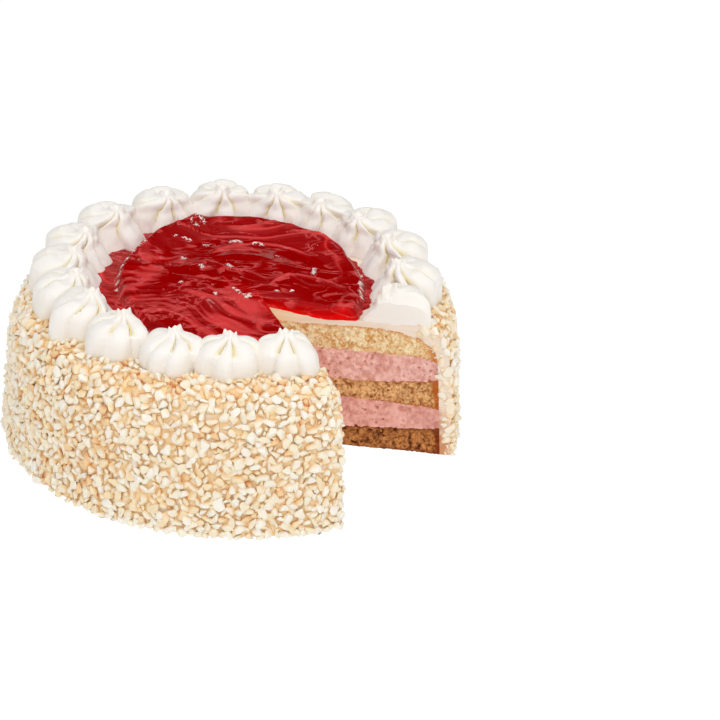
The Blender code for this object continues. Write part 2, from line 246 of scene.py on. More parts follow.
@dataclass(frozen=True)
class Cut:
    """The missing slice: two upright knife cuts that meet a little off the cake's axis.

    Angles are directions from the tip, from the right cut round through the cake to the front one.
    Beside the right cut the rim is drawn in: fully for the first turn, then less over the second one,
    and from one distance from the tip, growing over another, by at most the last value of each row.
    """

    tip: Pair = (0.0109, -0.0180)
    right_angle: float = math.radians(-9.4)
    front_angle: float = math.radians(295.3)
    drawn_turn: Pair = (0.25, 0.60)
    drawn: tuple[Triple, ...] = ((0.050, 0.040, 0.0018), (0.090, 0.008, 0.0034))

    def rays(self, count: int, crowding: float = 0.0) -> Array:
        """Spread directions from the right cut round the cake to the front one.

        Args:
            count: how many there are.
            crowding: how much closer they lie near the cuts, from 0 to 1.

        Returns:
            The directions.
        """
        even = np.linspace(0, 1, count)
        crowded = even - crowding * np.sin(math.tau * even) / math.tau
        return self.right_angle + (self.front_angle - self.right_angle) * crowded

    def spots(self, angles: Array, shares: Array, radius: Array | float) -> Array:
        """Lay places along rays from the tip to a circle round the cake's axis.

        Args:
            angles: the directions of the rays.
            shares: shares of the way from the tip to the circle.
            radius: the circle's radius, alike or for each ray.

        Returns:
            Places on the plan, as an array of rays, shares and x and y.
        """
        along = np.stack((np.cos(angles), np.sin(angles)), axis=-1)
        tip = np.array(self.tip)
        half = along @ tip
        reach = np.sqrt(half**2 - tip @ tip + np.asarray(radius) ** 2) - half
        return tip + (reach[:, None] * shares)[..., None] * along[:, None]

    def ring(self, angles: Array, radius: Array | float) -> Array:
        """Lay one place on each ray, where it meets a circle round the cake's axis."""
        return self.spots(angles, np.ones(1), radius)

    def outward(self, face: Face) -> Array:
        """Give the level direction that points out of the cake at a face.

        Args:
            face: the face.

        Returns:
            The direction, one metre long.
        """
        if face is Face.RIGHT:
            return np.array((math.sin(self.right_angle), -math.cos(self.right_angle), 0.0))
        return np.array((-math.sin(self.front_angle), math.cos(self.front_angle), 0.0))

    def depth(self, points: Array, face: Face) -> Array:
        """Measure how far places lie behind the plane of a face, into the cake."""
        return (np.array(self.tip) - points[..., :2]) @ self.outward(face)[:2]

    def inside(self, points: Array) -> Array:
        """Measure how far places lie inside the cake, from where the knife cut it."""
        return np.maximum(self.depth(points, Face.RIGHT), self.depth(points, Face.FRONT))

    def squeezed(self, points: Array) -> Array:
        """Draw the rim in beside the right cut, where the cake is a little narrower.

        Args:
            points: places in space.

        Returns:
            The places, moved towards the cuts' tip, so that the faces stay flat.
        """
        apart = points[..., :2] - np.array(self.tip)
        away = np.maximum(length(apart), 1e-6)
        margin = 0.2
        turn = (np.arctan2(apart[..., 1], apart[..., 0]) - self.right_angle + margin) % math.tau - margin
        near = 1 - ramp(turn, *self.drawn_turn)
        drawn = near * sum(most * ramp(away, start, width) for start, width, most in self.drawn)
        moved = points.copy()
        moved[..., :2] -= apart * (drawn / away)[..., None]
        return moved

    def trimmed(self, points: Array, proud: float) -> tuple[Array, Array]:
        """Press what would hang in the missing slice back towards the nearer face.

        Args:
            points: places in space.
            proud: how far it may still stand out of the face.

        Returns:
            The places, and how far each stood out of the nearer face before.
        """
        beyond = np.maximum(-self.inside(points), 0)
        pressed = beyond - proud * (1 - np.exp(-beyond / proud))
        nearer = (self.depth(points, Face.RIGHT) >= self.depth(points, Face.FRONT))[:, None]
        outward = np.where(nearer, self.outward(Face.RIGHT), self.outward(Face.FRONT))
        return points - pressed[:, None] * outward, beyond

    def carve(self, points: Array, face: Face, relief: Array, fade_steps: int) -> Array:
        """Move one cut face of a lattice by a relief that fades out at the tip.

        Args:
            points: the lattice, whose face is moved in place.
            face: the face.
            relief: how far each place of the face is to stand out.
            fade_steps: over how many steps from the tip the relief grows.

        Returns:
            How far each place stands out.
        """
        out = relief * np.clip(np.arange(len(relief)) / fade_steps, 0, 1)[:, None]
        points[face.value] += out[..., None] * self.outward(face)
        return out


CUT = Cut()


@dataclass(frozen=True)
class Stack:
    """The cake's section: heights of its layers' tops and its outer radii.

    Profiles hold radii and heights, from the axis outwards. The coat's top is the cream's flat top,
    and the layers draw in by the lean for each metre of height.
    """

    floor: Profile = ((0.0, 0.0), (0.102, 0.0))
    bottom_sponge: Profile = ((0.0, 0.0115), (0.060, 0.0105), (0.075, 0.0115), (0.102, 0.0134))
    lower_cream: Profile = ((0.0, 0.0262), (0.075, 0.0255), (0.101, 0.0236))
    middle_sponge: Profile = ((0.0, 0.0356), (0.060, 0.0352), (0.080, 0.0362), (0.100, 0.0387))
    upper_cream: Profile = (
        (0.0, 0.0503), (0.080, 0.0503), (0.090, 0.0497), (0.096, 0.0487), (0.099, 0.0478),
    )
    top_sponge: Profile = (
        (0.0, 0.0632), (0.040, 0.0622), (0.066, 0.0634), (0.081, 0.0618), (0.090, 0.0592), (0.0970, 0.0552),
    )
    coat_top: Profile = (
        (0.0, 0.0690), (0.024, 0.0690), (0.033, 0.0668), (0.046, 0.0652), (0.063, 0.0664), (0.088, 0.0662),
    )
    coat_shoulder: Profile = ((0.0950, 0.0645), (0.0990, 0.0615), (0.1025, 0.0535), (0.1047, 0.0440))
    coat_foot: float = 0.1080
    foot_radius: float = 0.1023
    lean: float = 0.065

    def radius(self, height: float) -> float:
        """Give the radius of the layers at a height."""
        return self.foot_radius - self.lean * height

    def sides(self, number: int) -> tuple[Profile, Profile, int, int, float, float]:
        """Give a layer's two profiles, the seeds of their unevenness and their outer radii.

        Args:
            number: the layer's number from the bottom up, from 0.

        Returns:
            Each value for the underside and then for the top.
        """
        tops = (self.bottom_sponge, self.lower_cream, self.middle_sponge, self.upper_cream, self.top_sponge)
        radii = [self.foot_radius, *(self.radius(top[-1][1]) for top in tops[:-1]), self.top_sponge[-1][0]]
        profiles, grains = (self.floor, *tops), (0, 11, 12, 13, 14, 15)
        pairs = (values[number : number + 2] for values in (profiles, grains, radii))
        return tuple(itertools.chain.from_iterable(pairs))


STACK = Stack()
SHOULDER: Profile = (*STACK.coat_top[-1:], *STACK.coat_shoulder)


class Wire:
    """One output socket, whose values or colours take part in Python's expressions."""

    def __init__(self, board: Board, socket: bpy.types.NodeSocket) -> None:
        """Keep a socket and the board that its node is on."""
        self.board = board
        self.socket = socket

    def _with(self, operation: str, first: Signal, second: Signal) -> Wire:
        """Add the Math node, or for colours and vectors the Vector Math node, of an operation.

        Args:
            operation: the operation's name.
            first: a wire or a number.
            second: a wire or a number.

        Returns:
            The node's result.
        """
        wires = [side for side in (first, second) if isinstance(side, Wire)]
        plain = all(wire.socket.type == "VALUE" for wire in wires)
        kind = "ShaderNodeMath" if plain else "ShaderNodeVectorMath"
        sides = [side if plain or isinstance(side, Wire) else (side,) * 3 for side in (first, second)]
        return self.board.node(kind, {"operation": operation}, {0: sides[0], 1: sides[1]})

    def __add__(self, other: Signal) -> Wire:
        """Add a wire or a number."""
        return self._with("ADD", self, other)

    def __radd__(self, other: float) -> Wire:
        """Add this to a number."""
        return self._with("ADD", other, self)

    def __sub__(self, other: Signal) -> Wire:
        """Take away a wire or a number."""
        return self._with("SUBTRACT", self, other)

    def __rsub__(self, other: float) -> Wire:
        """Take this away from a number."""
        return self._with("SUBTRACT", other, self)

    def __mul__(self, other: Signal) -> Wire:
        """Multiply by a wire or a number."""
        return self._with("MULTIPLY", self, other)

    def __rmul__(self, other: float) -> Wire:
        """Multiply a number by this."""
        return self._with("MULTIPLY", other, self)

    def band(self, low: float, high: float) -> Wire:
        """Turn values into a soft mask, which is 0 at the first value and 1 at the second."""
        sockets = {"Value": self, "From Min": low, "From Max": high}
        return self.board.node("ShaderNodeMapRange", {"interpolation_type": "SMOOTHSTEP"}, sockets)


Signal = Wire | float | int
Socket = Wire | float | tuple


class Board:
    """The nodes of one material or of the world."""

    def __init__(self, tree: bpy.types.NodeTree) -> None:
        """Take a node tree and empty it."""
        self.tree = tree
        self.tree.nodes.clear()

    def node(
        self, kind: str, settings: dict[str, str], sockets: dict[str | int, Socket], output: str | int = 0
    ) -> Wire:
        """Add one node.

        Args:
            kind: the node's type.
            settings: its properties, set before its sockets.
            sockets: what feeds its inputs, by name or number: wires or values.
            output: the output to hand back.

        Returns:
            That output.
        """
        node = self.tree.nodes.new(kind)
        for name, value in settings.items():
            setattr(node, name, value)
        for name, value in sockets.items():
            if isinstance(value, Wire):
                self.tree.links.new(value.socket, node.inputs[name])
            else:
                node.inputs[name].default_value = value
        return Wire(self, node.outputs[output])

    def end(self, kind: str, shader: Wire) -> None:
        """Close the board with an output node of a type that shows a shader."""
        self.tree.links.new(shader.socket, self.tree.nodes.new(kind).inputs["Surface"])

    @cached_property
    def place(self) -> Wire:
        """Give the place on the piece, in metres."""
        return self.node("ShaderNodeTexCoord", {}, {}, "Object")

    def stretched(self, scale: Triple) -> Wire:
        """Scale the place by a factor for each axis, of which the smaller draw patterns out."""
        return self.node("ShaderNodeVectorMath", {"operation": "MULTIPLY"}, {0: self.place, 1: scale})

    def tone(self, name: str) -> Wire:
        """Read values that the mesh holds at its points."""
        return self.node("ShaderNodeAttribute", {"attribute_name": name}, {}, "Fac")

    def mottle(self, size: float, detail: float, warp: float = 0.0, scale: Triple = (1.0, 1.0, 1.0)) -> Wire:
        """Spread cloudy noise.

        Args:
            size: how far apart the clouds are, in metres.
            detail: how much finer noise they hold.
            warp: how much they are twisted.
            scale: a factor for each axis, where the clouds are drawn out.

        Returns:
            Values around 0.5.
        """
        place = self.place if scale == (1.0, 1.0, 1.0) else self.stretched(scale)
        sockets = {"Vector": place, "Scale": 1 / size, "Detail": detail, "Distortion": warp}
        return self.node("ShaderNodeTexNoise", {}, sockets)

    def cells(self, size: float) -> Wire:
        """Give the distance to the nearest of many centres, as a share of the size that parts them."""
        return self.node("ShaderNodeTexVoronoi", {}, {"Vector": self.place, "Scale": 1 / size}, "Distance")

    def mix(self, share: Signal, first: Wire | Rgba, second: Wire | Rgba) -> Wire:
        """Mix two colours by the second one's share."""
        return self.node("ShaderNodeMix", {"data_type": "RGBA"}, {"Factor": share, 6: first, 7: second}, 2)

    def finish(self, colour: Socket, roughness: Socket, fixed: dict[str, Socket]) -> None:
        """Close a material's board with its shader.

        Args:
            colour: its colour.
            roughness: its roughness.
            fixed: what feeds the shader's other sockets.
        """
        sockets = {"Base Color": colour, "Roughness": roughness, **fixed}
        self.end("ShaderNodeOutputMaterial", self.node("ShaderNodeBsdfPrincipled", {}, sockets))


def new_board(name: str) -> tuple[bpy.types.Material, Board]:
    """Start a material.

    Args:
        name: the material's name.

    Returns:
        The material and its board of nodes.
    """
    material = bpy.data.materials.new(name)
    material.use_nodes = True
    return material, Board(material.node_tree)


def soft(weight: float, spread: Triple, mirror: float) -> dict[str, Socket]:
    """Name the sockets for how light spreads under a surface and how strongly the surface mirrors."""
    return {"Subsurface Weight": weight, "Subsurface Radius": spread, "Specular IOR Level": mirror}


@dataclass(frozen=True)
class Finish:
    """How a kind of piece looks.

    Args:
        name: the material's name.
    """

    name: str

    fixed = soft(0.2, (0.004, 0.002, 0.0015), 0.4)
    bump = 0.0003

    def draw(self, board: Board) -> tuple[Wire, Wire, Wire]:
        """Draw the colour, the roughness and the height of the bumps."""
        raise NotImplementedError

    def material(self) -> bpy.types.Material:
        """Build the material.

        Returns:
            The material.
        """
        material, board = new_board(self.name)
        colour, roughness, height = self.draw(board)
        bumps = {"Height": height, "Distance": self.bump, "Strength": 1.0}
        board.finish(colour, roughness, {**self.fixed, "Normal": board.node("ShaderNodeBump", {}, bumps)})
        return material


@dataclass(frozen=True)
class SpongeFinish(Finish):
    """Open, moist crumb with a browned skin.

    The sizes part its fine crumbs, its lumps, its moist spots, its brown flecks and its pores.
    """

    crumb: Rgba
    hollow: Rgba
    skin: Rgba
    sizes: tuple[float, ...] = (0.0012, 0.0031, 0.0060, 0.0021, 0.0009)
    blotch: float = 0.45

    fixed = soft(0.12, (0.002, 0.001, 0.0005), 0.15)
    bump = 0.0005

    def draw(self, board: Board) -> tuple[Wire, Wire, Wire]:
        """Draw lumpy crumb with moist spots and brown flecks, painted light on its raised crumbs and painted
        shade in its pits, and brown it where the mesh says so.

        Args:
            board: the material's nodes.

        Returns:
            The colour, the roughness and the height of the bumps.
        """
        fine_size, lump_size, spot_size, fleck_size, pore_size = self.sizes
        fine = board.mottle(fine_size, 4.0, 0.5)
        lumps = board.mottle(lump_size, 4.0, 0.8)
        # Painted light and shade: crumbs that stand out of the cut face get the light crumb colour, and its
        # pits the dark hollow colour.
        raised = (board.tone("relief") * 0.4 + fine * 0.5 + lumps * 1.25).band(0.77, 1.30)
        body = board.mix(raised, self.hollow, self.crumb)
        spots = board.mottle(spot_size, 3.0).band(0.5, 0.72)
        body = board.mix(spots * self.blotch, body, self.hollow)
        flecks = board.mottle(fleck_size, 2.0, 1.0).band(0.60, 0.70)
        body = board.mix(flecks * self.blotch, body, self.skin)
        edge = (board.tone("skin") + (fine - 0.5) * 1.6 + (lumps - 0.5) * 0.8).band(0.2, 0.7)
        crust = board.mix(fine.band(0.4, 0.62) * 0.6, self.skin, self.hollow)
        colour = board.mix(edge * 0.9, body, crust)
        return colour, 0.72 + fine * 0.2, fine + board.cells(pore_size) * 0.5


@dataclass(frozen=True)
class RaspberryCreamFinish(Finish):
    """Soft pink cream with fine dark seeds.

    The sizes part its clouds, its fine bubbles, its specks and the patches that have specks.
    """

    cream: Rgba
    pale: Rgba
    seed: Rgba
    sizes: tuple[float, ...] = (0.0080, 0.0016, 0.0022, 0.0040)
    dried: float = 0.2

    bump = 0.0006

    def draw(self, board: Board) -> tuple[Wire, Wire, Wire]:
        """Draw cloudy cream, painted lighter where the cut face stands out and darker in its dips and pits,
        specks in some patches of it, and a darker outer edge.

        Args:
            board: the material's nodes.

        Returns:
            The colour, the roughness and the height of the bumps.
        """
        cloud_size, fine_size, speck_size, patch_size = self.sizes
        cloud = board.mottle(cloud_size, 5.0, 0.5)
        fine = board.mottle(fine_size, 3.0)
        # Painted light: besides its own cloudy tone, the cream is paler where the cut face stands out and
        # darker in its dips and pits.
        airy_and_relief_lit = cloud * 0.5 + fine * 0.4 + board.tone("relief") * 0.6
        colour = board.mix(airy_and_relief_lit.band(0.5, 1.0), self.cream, self.pale)
        specks = board.cells(speck_size).band(0.20, 0.10)
        some = board.mottle(patch_size, 1.0).band(0.46, 0.56)
        colour = board.mix(specks * some * 0.8, colour, self.seed)
        colour = board.mix(board.tone("skin") * self.dried, colour, self.seed)
        return colour, 0.5 + fine * 0.15, fine * 0.6 + cloud * 0.4


@dataclass(frozen=True)
class WhippedFinish(Finish):
    """Smooth, satin whipped cream, with painted shade that darkens and yellows its folds.

    The sizes part its soft, buttery patches and its finest bubbles.
    """

    cream: Rgba
    fold: Rgba
    fat: Rgba
    sizes: tuple[float, ...] = (0.0090, 0.0015)

    fixed = soft(0.5, (0.004, 0.004, 0.004), 0.4)
    bump = 0.00025

    def draw(self, board: Board) -> tuple[Wire, Wire, Wire]:
        """Draw patchy cream, with painted shade that darkens and yellows it where the mesh has folds.

        Args:
            board: the material's nodes.

        Returns:
            The colour, the roughness and the height of the bumps.
        """
        patch_size, fine_size = self.sizes
        cloud = board.mottle(patch_size, 3.0)
        fine = board.mottle(fine_size, 4.0)
        colour = board.mix(cloud.band(0.45, 0.7) * 0.5, self.cream, self.fat)
        # Painted shade: the fold colour darkens and yellows the grooves, the thin folds, the crown's pit and
        # the outer foot.
        colour = board.mix(board.tone("fold") * 0.9, colour, self.fold)
        return colour, 0.42 + fine * 0.16, fine * 0.5 + cloud * 0.5


@dataclass(frozen=True)
class CoatFinish(Finish):
    """Spread cream: knife-streaked where it is cut, yellow-orange under the jelly, golden among the nuts.

    The smear shows among the nuts, and the stain where the cut dragged crumbs. The yellow-orange colour is
    partly the cream's own and partly painted red light that comes through the jelly, and it is gone at its
    reach from the axis. The golden colour among the nuts is partly the cream's own and partly painted warm
    shade in the gaps between them. The sizes part the clouds and the knife's streaks.
    """

    cream: Rgba
    custard_and_jelly_light: Rgba
    caramel_and_gap_shade: Rgba
    smear: Rgba
    stain: Rgba
    custard_reach: float = 0.060
    sizes: tuple[float, ...] = (0.0060, 0.0011)
    drawn: Triple = (0.06, 0.06, 1.0)

    fixed = soft(0.2, (0.003, 0.0022, 0.0014), 0.4)

    def draw(self, board: Board) -> tuple[Wire, Wire, Wire]:
        """Draw the custard round the axis, then the caramel outside, then the stains of the cut.

        Args:
            board: the material's nodes.

        Returns:
            The colour, the roughness and the height of the bumps.
        """
        cloud_size, streak_size = self.sizes
        level = board.stretched((1.0, 1.0, 0.0))
        radius = board.node("ShaderNodeVectorMath", {"operation": "LENGTH"}, {0: level}, "Value")
        cloud = board.mottle(cloud_size, 3.0)
        streaks = board.mottle(streak_size, 2.0, scale=self.drawn)
        # Painted light: the yellow-orange colour round the axis stands partly for red light that comes
        # through the jelly.
        custard_and_jelly_light = (radius + cloud * 0.012).band(self.custard_reach, self.custard_reach * 0.35)
        colour = board.mix(custard_and_jelly_light, self.cream, self.custard_and_jelly_light)
        # Painted shade: the golden colour among the nuts stands partly for warm shade in the gaps between
        # them.
        outside = board.mix(cloud.band(0.5, 0.62), self.caramel_and_gap_shade, self.smear)
        colour = board.mix(board.tone("outside"), colour, outside)
        soaked = (board.tone("stain") + (cloud - 0.5) * 1.2 + (streaks - 0.5) * 0.5).band(0.15, 0.95)
        return board.mix(soaked, colour, self.stain), 0.4 + streaks * 0.2, streaks * 0.7 + cloud * 0.5


@dataclass(frozen=True)
class NutFinish(Finish):
    """Chopped nuts: pale flesh, golden at the toasted edges, with painted warm shade low down on each nut.
    """

    flesh: Rgba
    rim: Rgba
    size: float = 0.0014

    fixed = soft(0.3, (0.002, 0.0014, 0.0008), 0.45)
    bump = 0.00025

    def draw(self, board: Board) -> tuple[Wire, Wire, Wire]:
        """Paint warm shade from the foot of each nut upwards, and toast some nuts more than others.

        Args:
            board: the material's nodes.

        Returns:
            The colour, the roughness and the height of the bumps.
        """
        fine = board.mottle(self.size, 3.0)
        # Painted shade: each nut turns golden towards its foot, where it sinks into the cream among its
        # neighbours; the noise and each nut's own tone add toasting.
        depth = (1 - board.tone("rise")).band(0.22, 0.95)
        toasted = depth * 0.85 + (fine - 0.5) * 0.5 + board.tone("shade") * 0.2 - 0.06
        return board.mix(toasted.band(0.0, 1.0), self.flesh, self.rim), 0.42 + fine * 0.2, fine


@dataclass(frozen=True)
class JellyFinish(Finish):
    """Wet, clear red jelly, lighter where it is thin.

    Deep is its colour where it is thick, bright where light comes through, which is painted light, and film
    in the thinnest streaks. The film colour is also painted sheen on its ridges and painted highlights along
    its creases, and the foam colour painted glints. The sizes part its clouds, the streaks of its thin ends,
    the bubbles in its cut faces, its creases, the patches that have creases, and its frothy specks.
    """

    deep: Rgba
    bright: Rgba
    film: Rgba
    froth_glint: Rgba
    sizes: tuple[float, ...] = (0.0160, 0.0019, 0.0034, 0.0085, 0.0130, 0.0008)

    fixed = {"IOR": 1.38, "Specular IOR Level": 0.1}

    def draw(self, board: Board) -> tuple[Wire, Wire, Wire]:
        """Draw clear jelly with painted sheen on its crests, then its thin streaks, painted highlights along
        its creases and frothy specks with painted glints.

        Args:
            board: the material's nodes.

        Returns:
            The colour, the roughness and the height of the bumps.
        """
        cloud_size, streak_size, bubble_size, vein_size, patch_size, froth_size = self.sizes
        cloud = board.mottle(cloud_size, 3.0, 0.6)
        thin, crest_sheen, cut = (board.tone(name) for name in ("thin", "crest_sheen", "cut"))
        # Painted light: brighter on the ridges, near the cut and low on the cut faces, where light comes
        # through.
        lit = cloud * 0.6 + crest_sheen * 0.42 + cut * 1.15 + thin * 0.1
        colour = board.mix(lit.band(0.4, 1.15), self.deep, self.bright)
        # Painted sheen: the ridges of the strokes turn pinker.
        colour = board.mix(crest_sheen.band(0.45, 0.85) * 0.45, colour, self.film)
        drawn = board.mottle(streak_size, 3.0, 0.7, (0.24, 1.0, 1.0))
        colour = board.mix((thin * drawn * 2.0).band(0.65, 1.45) * 0.4, colour, self.film)
        bubbles = board.cells(bubble_size).band(0.2, 0.0)
        veined = board.mottle(vein_size, 3.0, 1.2, (0.45, 1.0, 1.0))
        patchy = board.mottle(patch_size, 1.0).band(0.42, 0.58)
        # Painted highlights: thin light lines along the creases.
        crease = veined.band(0.495, 0.51) * veined.band(0.60, 0.51) * patchy
        colour = board.mix(crease * 0.65, colour, self.film)
        # Partly frothy bubbles and partly painted glints: pinkish-white specks round the beads.
        specks = (board.mottle(froth_size, 1.0) - 0.5) * 2.0
        froth_glint = (board.tone("bead") + specks).band(0.52, 0.72)
        colour = board.mix(froth_glint * 0.8, colour, self.froth_glint)
        streaky = board.tone("streaky") * 0.25 + thin * 0.8
        height = drawn * streaky + bubbles * cut * 2.2 + crease * 0.6 + froth_glint
        return colour, 0.03 + cloud * 0.04, height


def piece_from(
    name: str, points: Array, faces: list[tuple[int, ...]], tones: dict[str, Array], crease: float
) -> bpy.types.Object:
    """Make one shown piece.

    Args:
        name: the piece's name.
        points: its points, one in each row.
        faces: its faces, as numbers of points, anticlockwise from outside.
        tones: values at its points, which its material reads.
        crease: the angle between faces from which an edge looks sharp.

    Returns:
        The object, linked to the scene.
    """
    mesh = bpy.data.meshes.new(name)
    mesh.from_pydata(points.tolist(), [], faces)
    mesh.shade_smooth()
    mesh.set_sharp_from_angle(angle=crease)
    for key, values in tones.items():
        layer = mesh.attributes.new(key, "FLOAT", "POINT")
        layer.data.foreach_set("value", np.asarray(values, np.float32))
    piece = bpy.data.objects.new(name, mesh)
    bpy.context.scene.collection.objects.link(piece)
    return piece


def settle(piece: bpy.types.Object, material: bpy.types.Material, slot: str, *nodes: str) -> None:
    """Dress a piece and let it stand for its solids.

    Args:
        piece: the piece.
        material: its finish.
        slot: the material slot of the record that it stands for; not used.
        nodes: the solids that it replaces.
    """
    piece.data.materials.append(material)
    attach(piece, BODY)
    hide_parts(*nodes)
    LOG.info("%s: %d points, %d faces", piece.name, len(piece.data.vertices), len(piece.data.polygons))


def sheet(grid: Array, flip: bool) -> Array:
    """Join a grid of numbered points by four-sided faces.

    Args:
        grid: the points' numbers.
        flip: whether the faces look the other way.

    Returns:
        The faces, one in each row.
    """
    corners = [grid[:-1, :-1], grid[1:, :-1], grid[1:, 1:], grid[:-1, 1:]]
    if flip:
        corners.reverse()
    return np.stack(corners, axis=-1).reshape(-1, 4)


def block(name: str, points: Array, tones: dict[str, Array], crease: float) -> bpy.types.Object:
    """Close the outside of a lattice that turns round the cut's tip.

    Args:
        name: the piece's name.
        points: the lattice: rays from the right cut to the front one, steps outwards, rows
            upwards or outwards, and x, y and z.
        tones: values for the whole lattice, which the material reads.
        crease: the angle from which an edge looks sharp.

    Returns:
        A closed piece.
    """
    shown = np.zeros(points.shape[:3], bool)
    shown[[0, -1]] = True
    shown[:, -1] = True
    shown[:, :, [0, -1]] = True
    shown[1:, 0] = False
    number = np.full(points.shape[:3], -1)
    number[shown] = np.arange(np.count_nonzero(shown))
    number[1:, 0] = number[0, 0]
    quads = np.vstack((
        sheet(number[:, :, 0], False),
        sheet(number[:, :, -1], True),
        sheet(number[:, -1], False),
        sheet(number[0], False),
        sheet(number[-1], True),
    ))
    faces = [tuple(dict.fromkeys(quad)) for quad in quads.tolist()]
    shown_tones = {key: value[shown] for key, value in tones.items()}
    return piece_from(name, points[shown], faces, shown_tones, crease)


@dataclass
class Layer:
    """One sponge or raspberry cream that runs through the cake and shows in both faces of the cut.

    Low and high are its underside and its top, each with a profile, a grain that seeds its unevenness
    and a radius. The layer below or above shares that grain, and 0 stands for a flat underside. The
    mesh has steps from the tip outwards and rows from the underside up. The lap is how far a layer
    reaches into its neighbours.
    """

    name: str
    low: Profile
    high: Profile
    low_grain: int
    high_grain: int
    low_radius: float
    high_radius: float
    rays: int = 26
    steps: int = 320
    rows: int = 42
    fade_steps: int = 8
    wander: float = 0.00055
    wave: float = 0.006
    lap: float = 0.00012
    relief_span: float = 0.0014
    flush: float = 0.55

    slot = "sponge"

    def relief(self, points: Array) -> Array:
        """Say how far each place of a cut face stands out, in metres."""
        raise NotImplementedError

    def skin(self, above: Array, below: Array, outside: Array, points: Array) -> Array:
        """Say where the layer is darker, by the depths under its top, over its foot and in its wall."""
        raise NotImplementedError

    def level(self, plan: Array, profile: Profile, grain: int) -> Array:
        """Give the height of one uneven side of the layer.

        Args:
            plan: places on the plan.
            profile: the side's profile.
            grain: the seed of its unevenness, or 0.

        Returns:
            The heights.
        """
        height = height_on(profile, length(plan))
        return height + self.wander * Grain(grain).rough(lifted(plan, 0.0), self.wave) if grain else height

    def build(self, material: bpy.types.Material) -> None:
        """Make and dress the layer.

        Args:
            material: its finish.
        """
        angles, shares = CUT.rays(self.rays), np.linspace(0, 1, self.steps)
        low, high = (CUT.spots(angles, shares, radius) for radius in (self.low_radius, self.high_radius))
        low_level = self.level(low, self.low, self.low_grain) - self.lap * (self.low_grain > 0)
        high_level = self.level(high, self.high, self.high_grain) + self.lap
        points = between(lifted(low, low_level), lifted(high, high_level), self.rows)
        rise, thick = np.linspace(0, 1, self.rows), (high_level - low_level)[..., None]
        wall = self.low_radius + (self.high_radius - self.low_radius) * rise
        skin = self.skin(thick * (1 - rise), thick * rise, wall - length(points[..., :2]), points)
        tones = {"skin": skin, "relief": np.full(points.shape[:3], 0.5)}
        points = CUT.squeezed(points)
        for face in Face:
            out = CUT.carve(points, face, self.relief(points[face.value]), self.fade_steps)
            # The relief tone, which the finishes turn into painted light: lighter where the face stands out,
            # darker in its pits.
            tones["relief"][face.value] = np.clip(self.flush + out / self.relief_span, 0, 1)
        points[..., 2] = np.maximum(points[..., 2], 0.0)
        settle(block(self.name + "_cut", points, tones, math.radians(60)), material, self.slot, self.name)


@dataclass
class Sponge(Layer):
    """A sponge with an open crumb, browned at its underside, its top and its outer edge.

    Crumb and dome are the size and height of its coarse and of its fine crumbs. The firm share of the
    coarse ones has no torn pit beside it. Crusts are the depths of the browning at the underside and
    the top, glow the strength and depth of a faint one, and rim the depth of the edge's and its spread.
    """

    browned: Triple = (0.5, 0.5, 1.0)
    crumb: Pair = (0.0022, 0.0011)
    dome: Pair = (0.0013, 0.0006)
    pit: float = 0.0010
    firm: float = 0.84
    sway: float = 0.0002
    reach: Pair = (-0.0013, 0.0006)
    crusts: Pair = (0.0011, 0.0010)
    glow: Pair = (0.30, 0.022)
    rim: Pair = (0.0023, 0.0013)

    def relief(self, points: Array) -> Array:
        """Raise rounded crumbs with torn gaps between them.

        Args:
            points: places on the face.

        Returns:
            How far it stands out at each, in metres.
        """
        coarse, lot = Grain(31).crumbs(points, self.crumb[0])
        fine, _ = Grain(57).crumbs(points, self.crumb[1])
        domes = self.dome[0] * (0.58 - coarse) * (0.35 + lot) + self.dome[1] * (0.5 - fine)
        pits = -self.pit * ease((0.5 - coarse) / 0.3) * (lot > self.firm)
        return np.clip(domes + pits + self.sway * Grain(91).swell(points, 0.005), *self.reach)

    def skin(self, above: Array, below: Array, outside: Array, points: Array) -> Array:
        """Brown the underside, the top and the outer edge.

        Args:
            above: depth under its top, in metres.
            below: height over its underside.
            outside: depth behind its outer wall.
            points: the places.

        Returns:
            Values from 0 to about 1.
        """
        patch = 0.75 + 0.5 * Grain(17).rough(points, 0.007)
        under, over, edge = self.browned
        crust = np.maximum(under * np.exp(-below / self.crusts[0]), over * np.exp(-above / self.crusts[1]))
        reach = self.rim[0] + self.rim[1] * Grain(19).rough(points, 0.004)
        glow = self.glow[0] * np.exp(-outside / self.glow[1])
        return np.maximum(crust, edge * bell(outside / reach)) * patch + glow


@dataclass
class RaspberryCream(Layer):
    """A pink cream that the knife left smooth, with ripples, streaks and a few pits."""

    ripple: Pair = (0.0006, 0.0001)
    pit: float = 0.0008
    pit_size: float = 0.0030
    whole: float = 0.55
    dry_depth: float = 0.025

    slot = "raspberry_cream"

    def skin(self, above: Array, below: Array, outside: Array, points: Array) -> Array:
        """Darken the cream towards its outer edge, where it has dried."""
        return np.exp(-outside / self.dry_depth)

    def relief(self, points: Array) -> Array:
        """Ripple the face softly and pit it here and there.

        Args:
            points: places on the face.

        Returns:
            How far it stands out at each, in metres.
        """
        near, lot = Grain(71).crumbs(points, self.pit_size)
        streaks = self.ripple[1] * Grain(47).swell(points, (0.02, 0.02, 0.0014))
        pits = -self.pit * ease((0.32 - near) / 0.18) * (lot > self.whole)
        return self.ripple[0] * Grain(43).rough(points, 0.0019) + streaks + pits


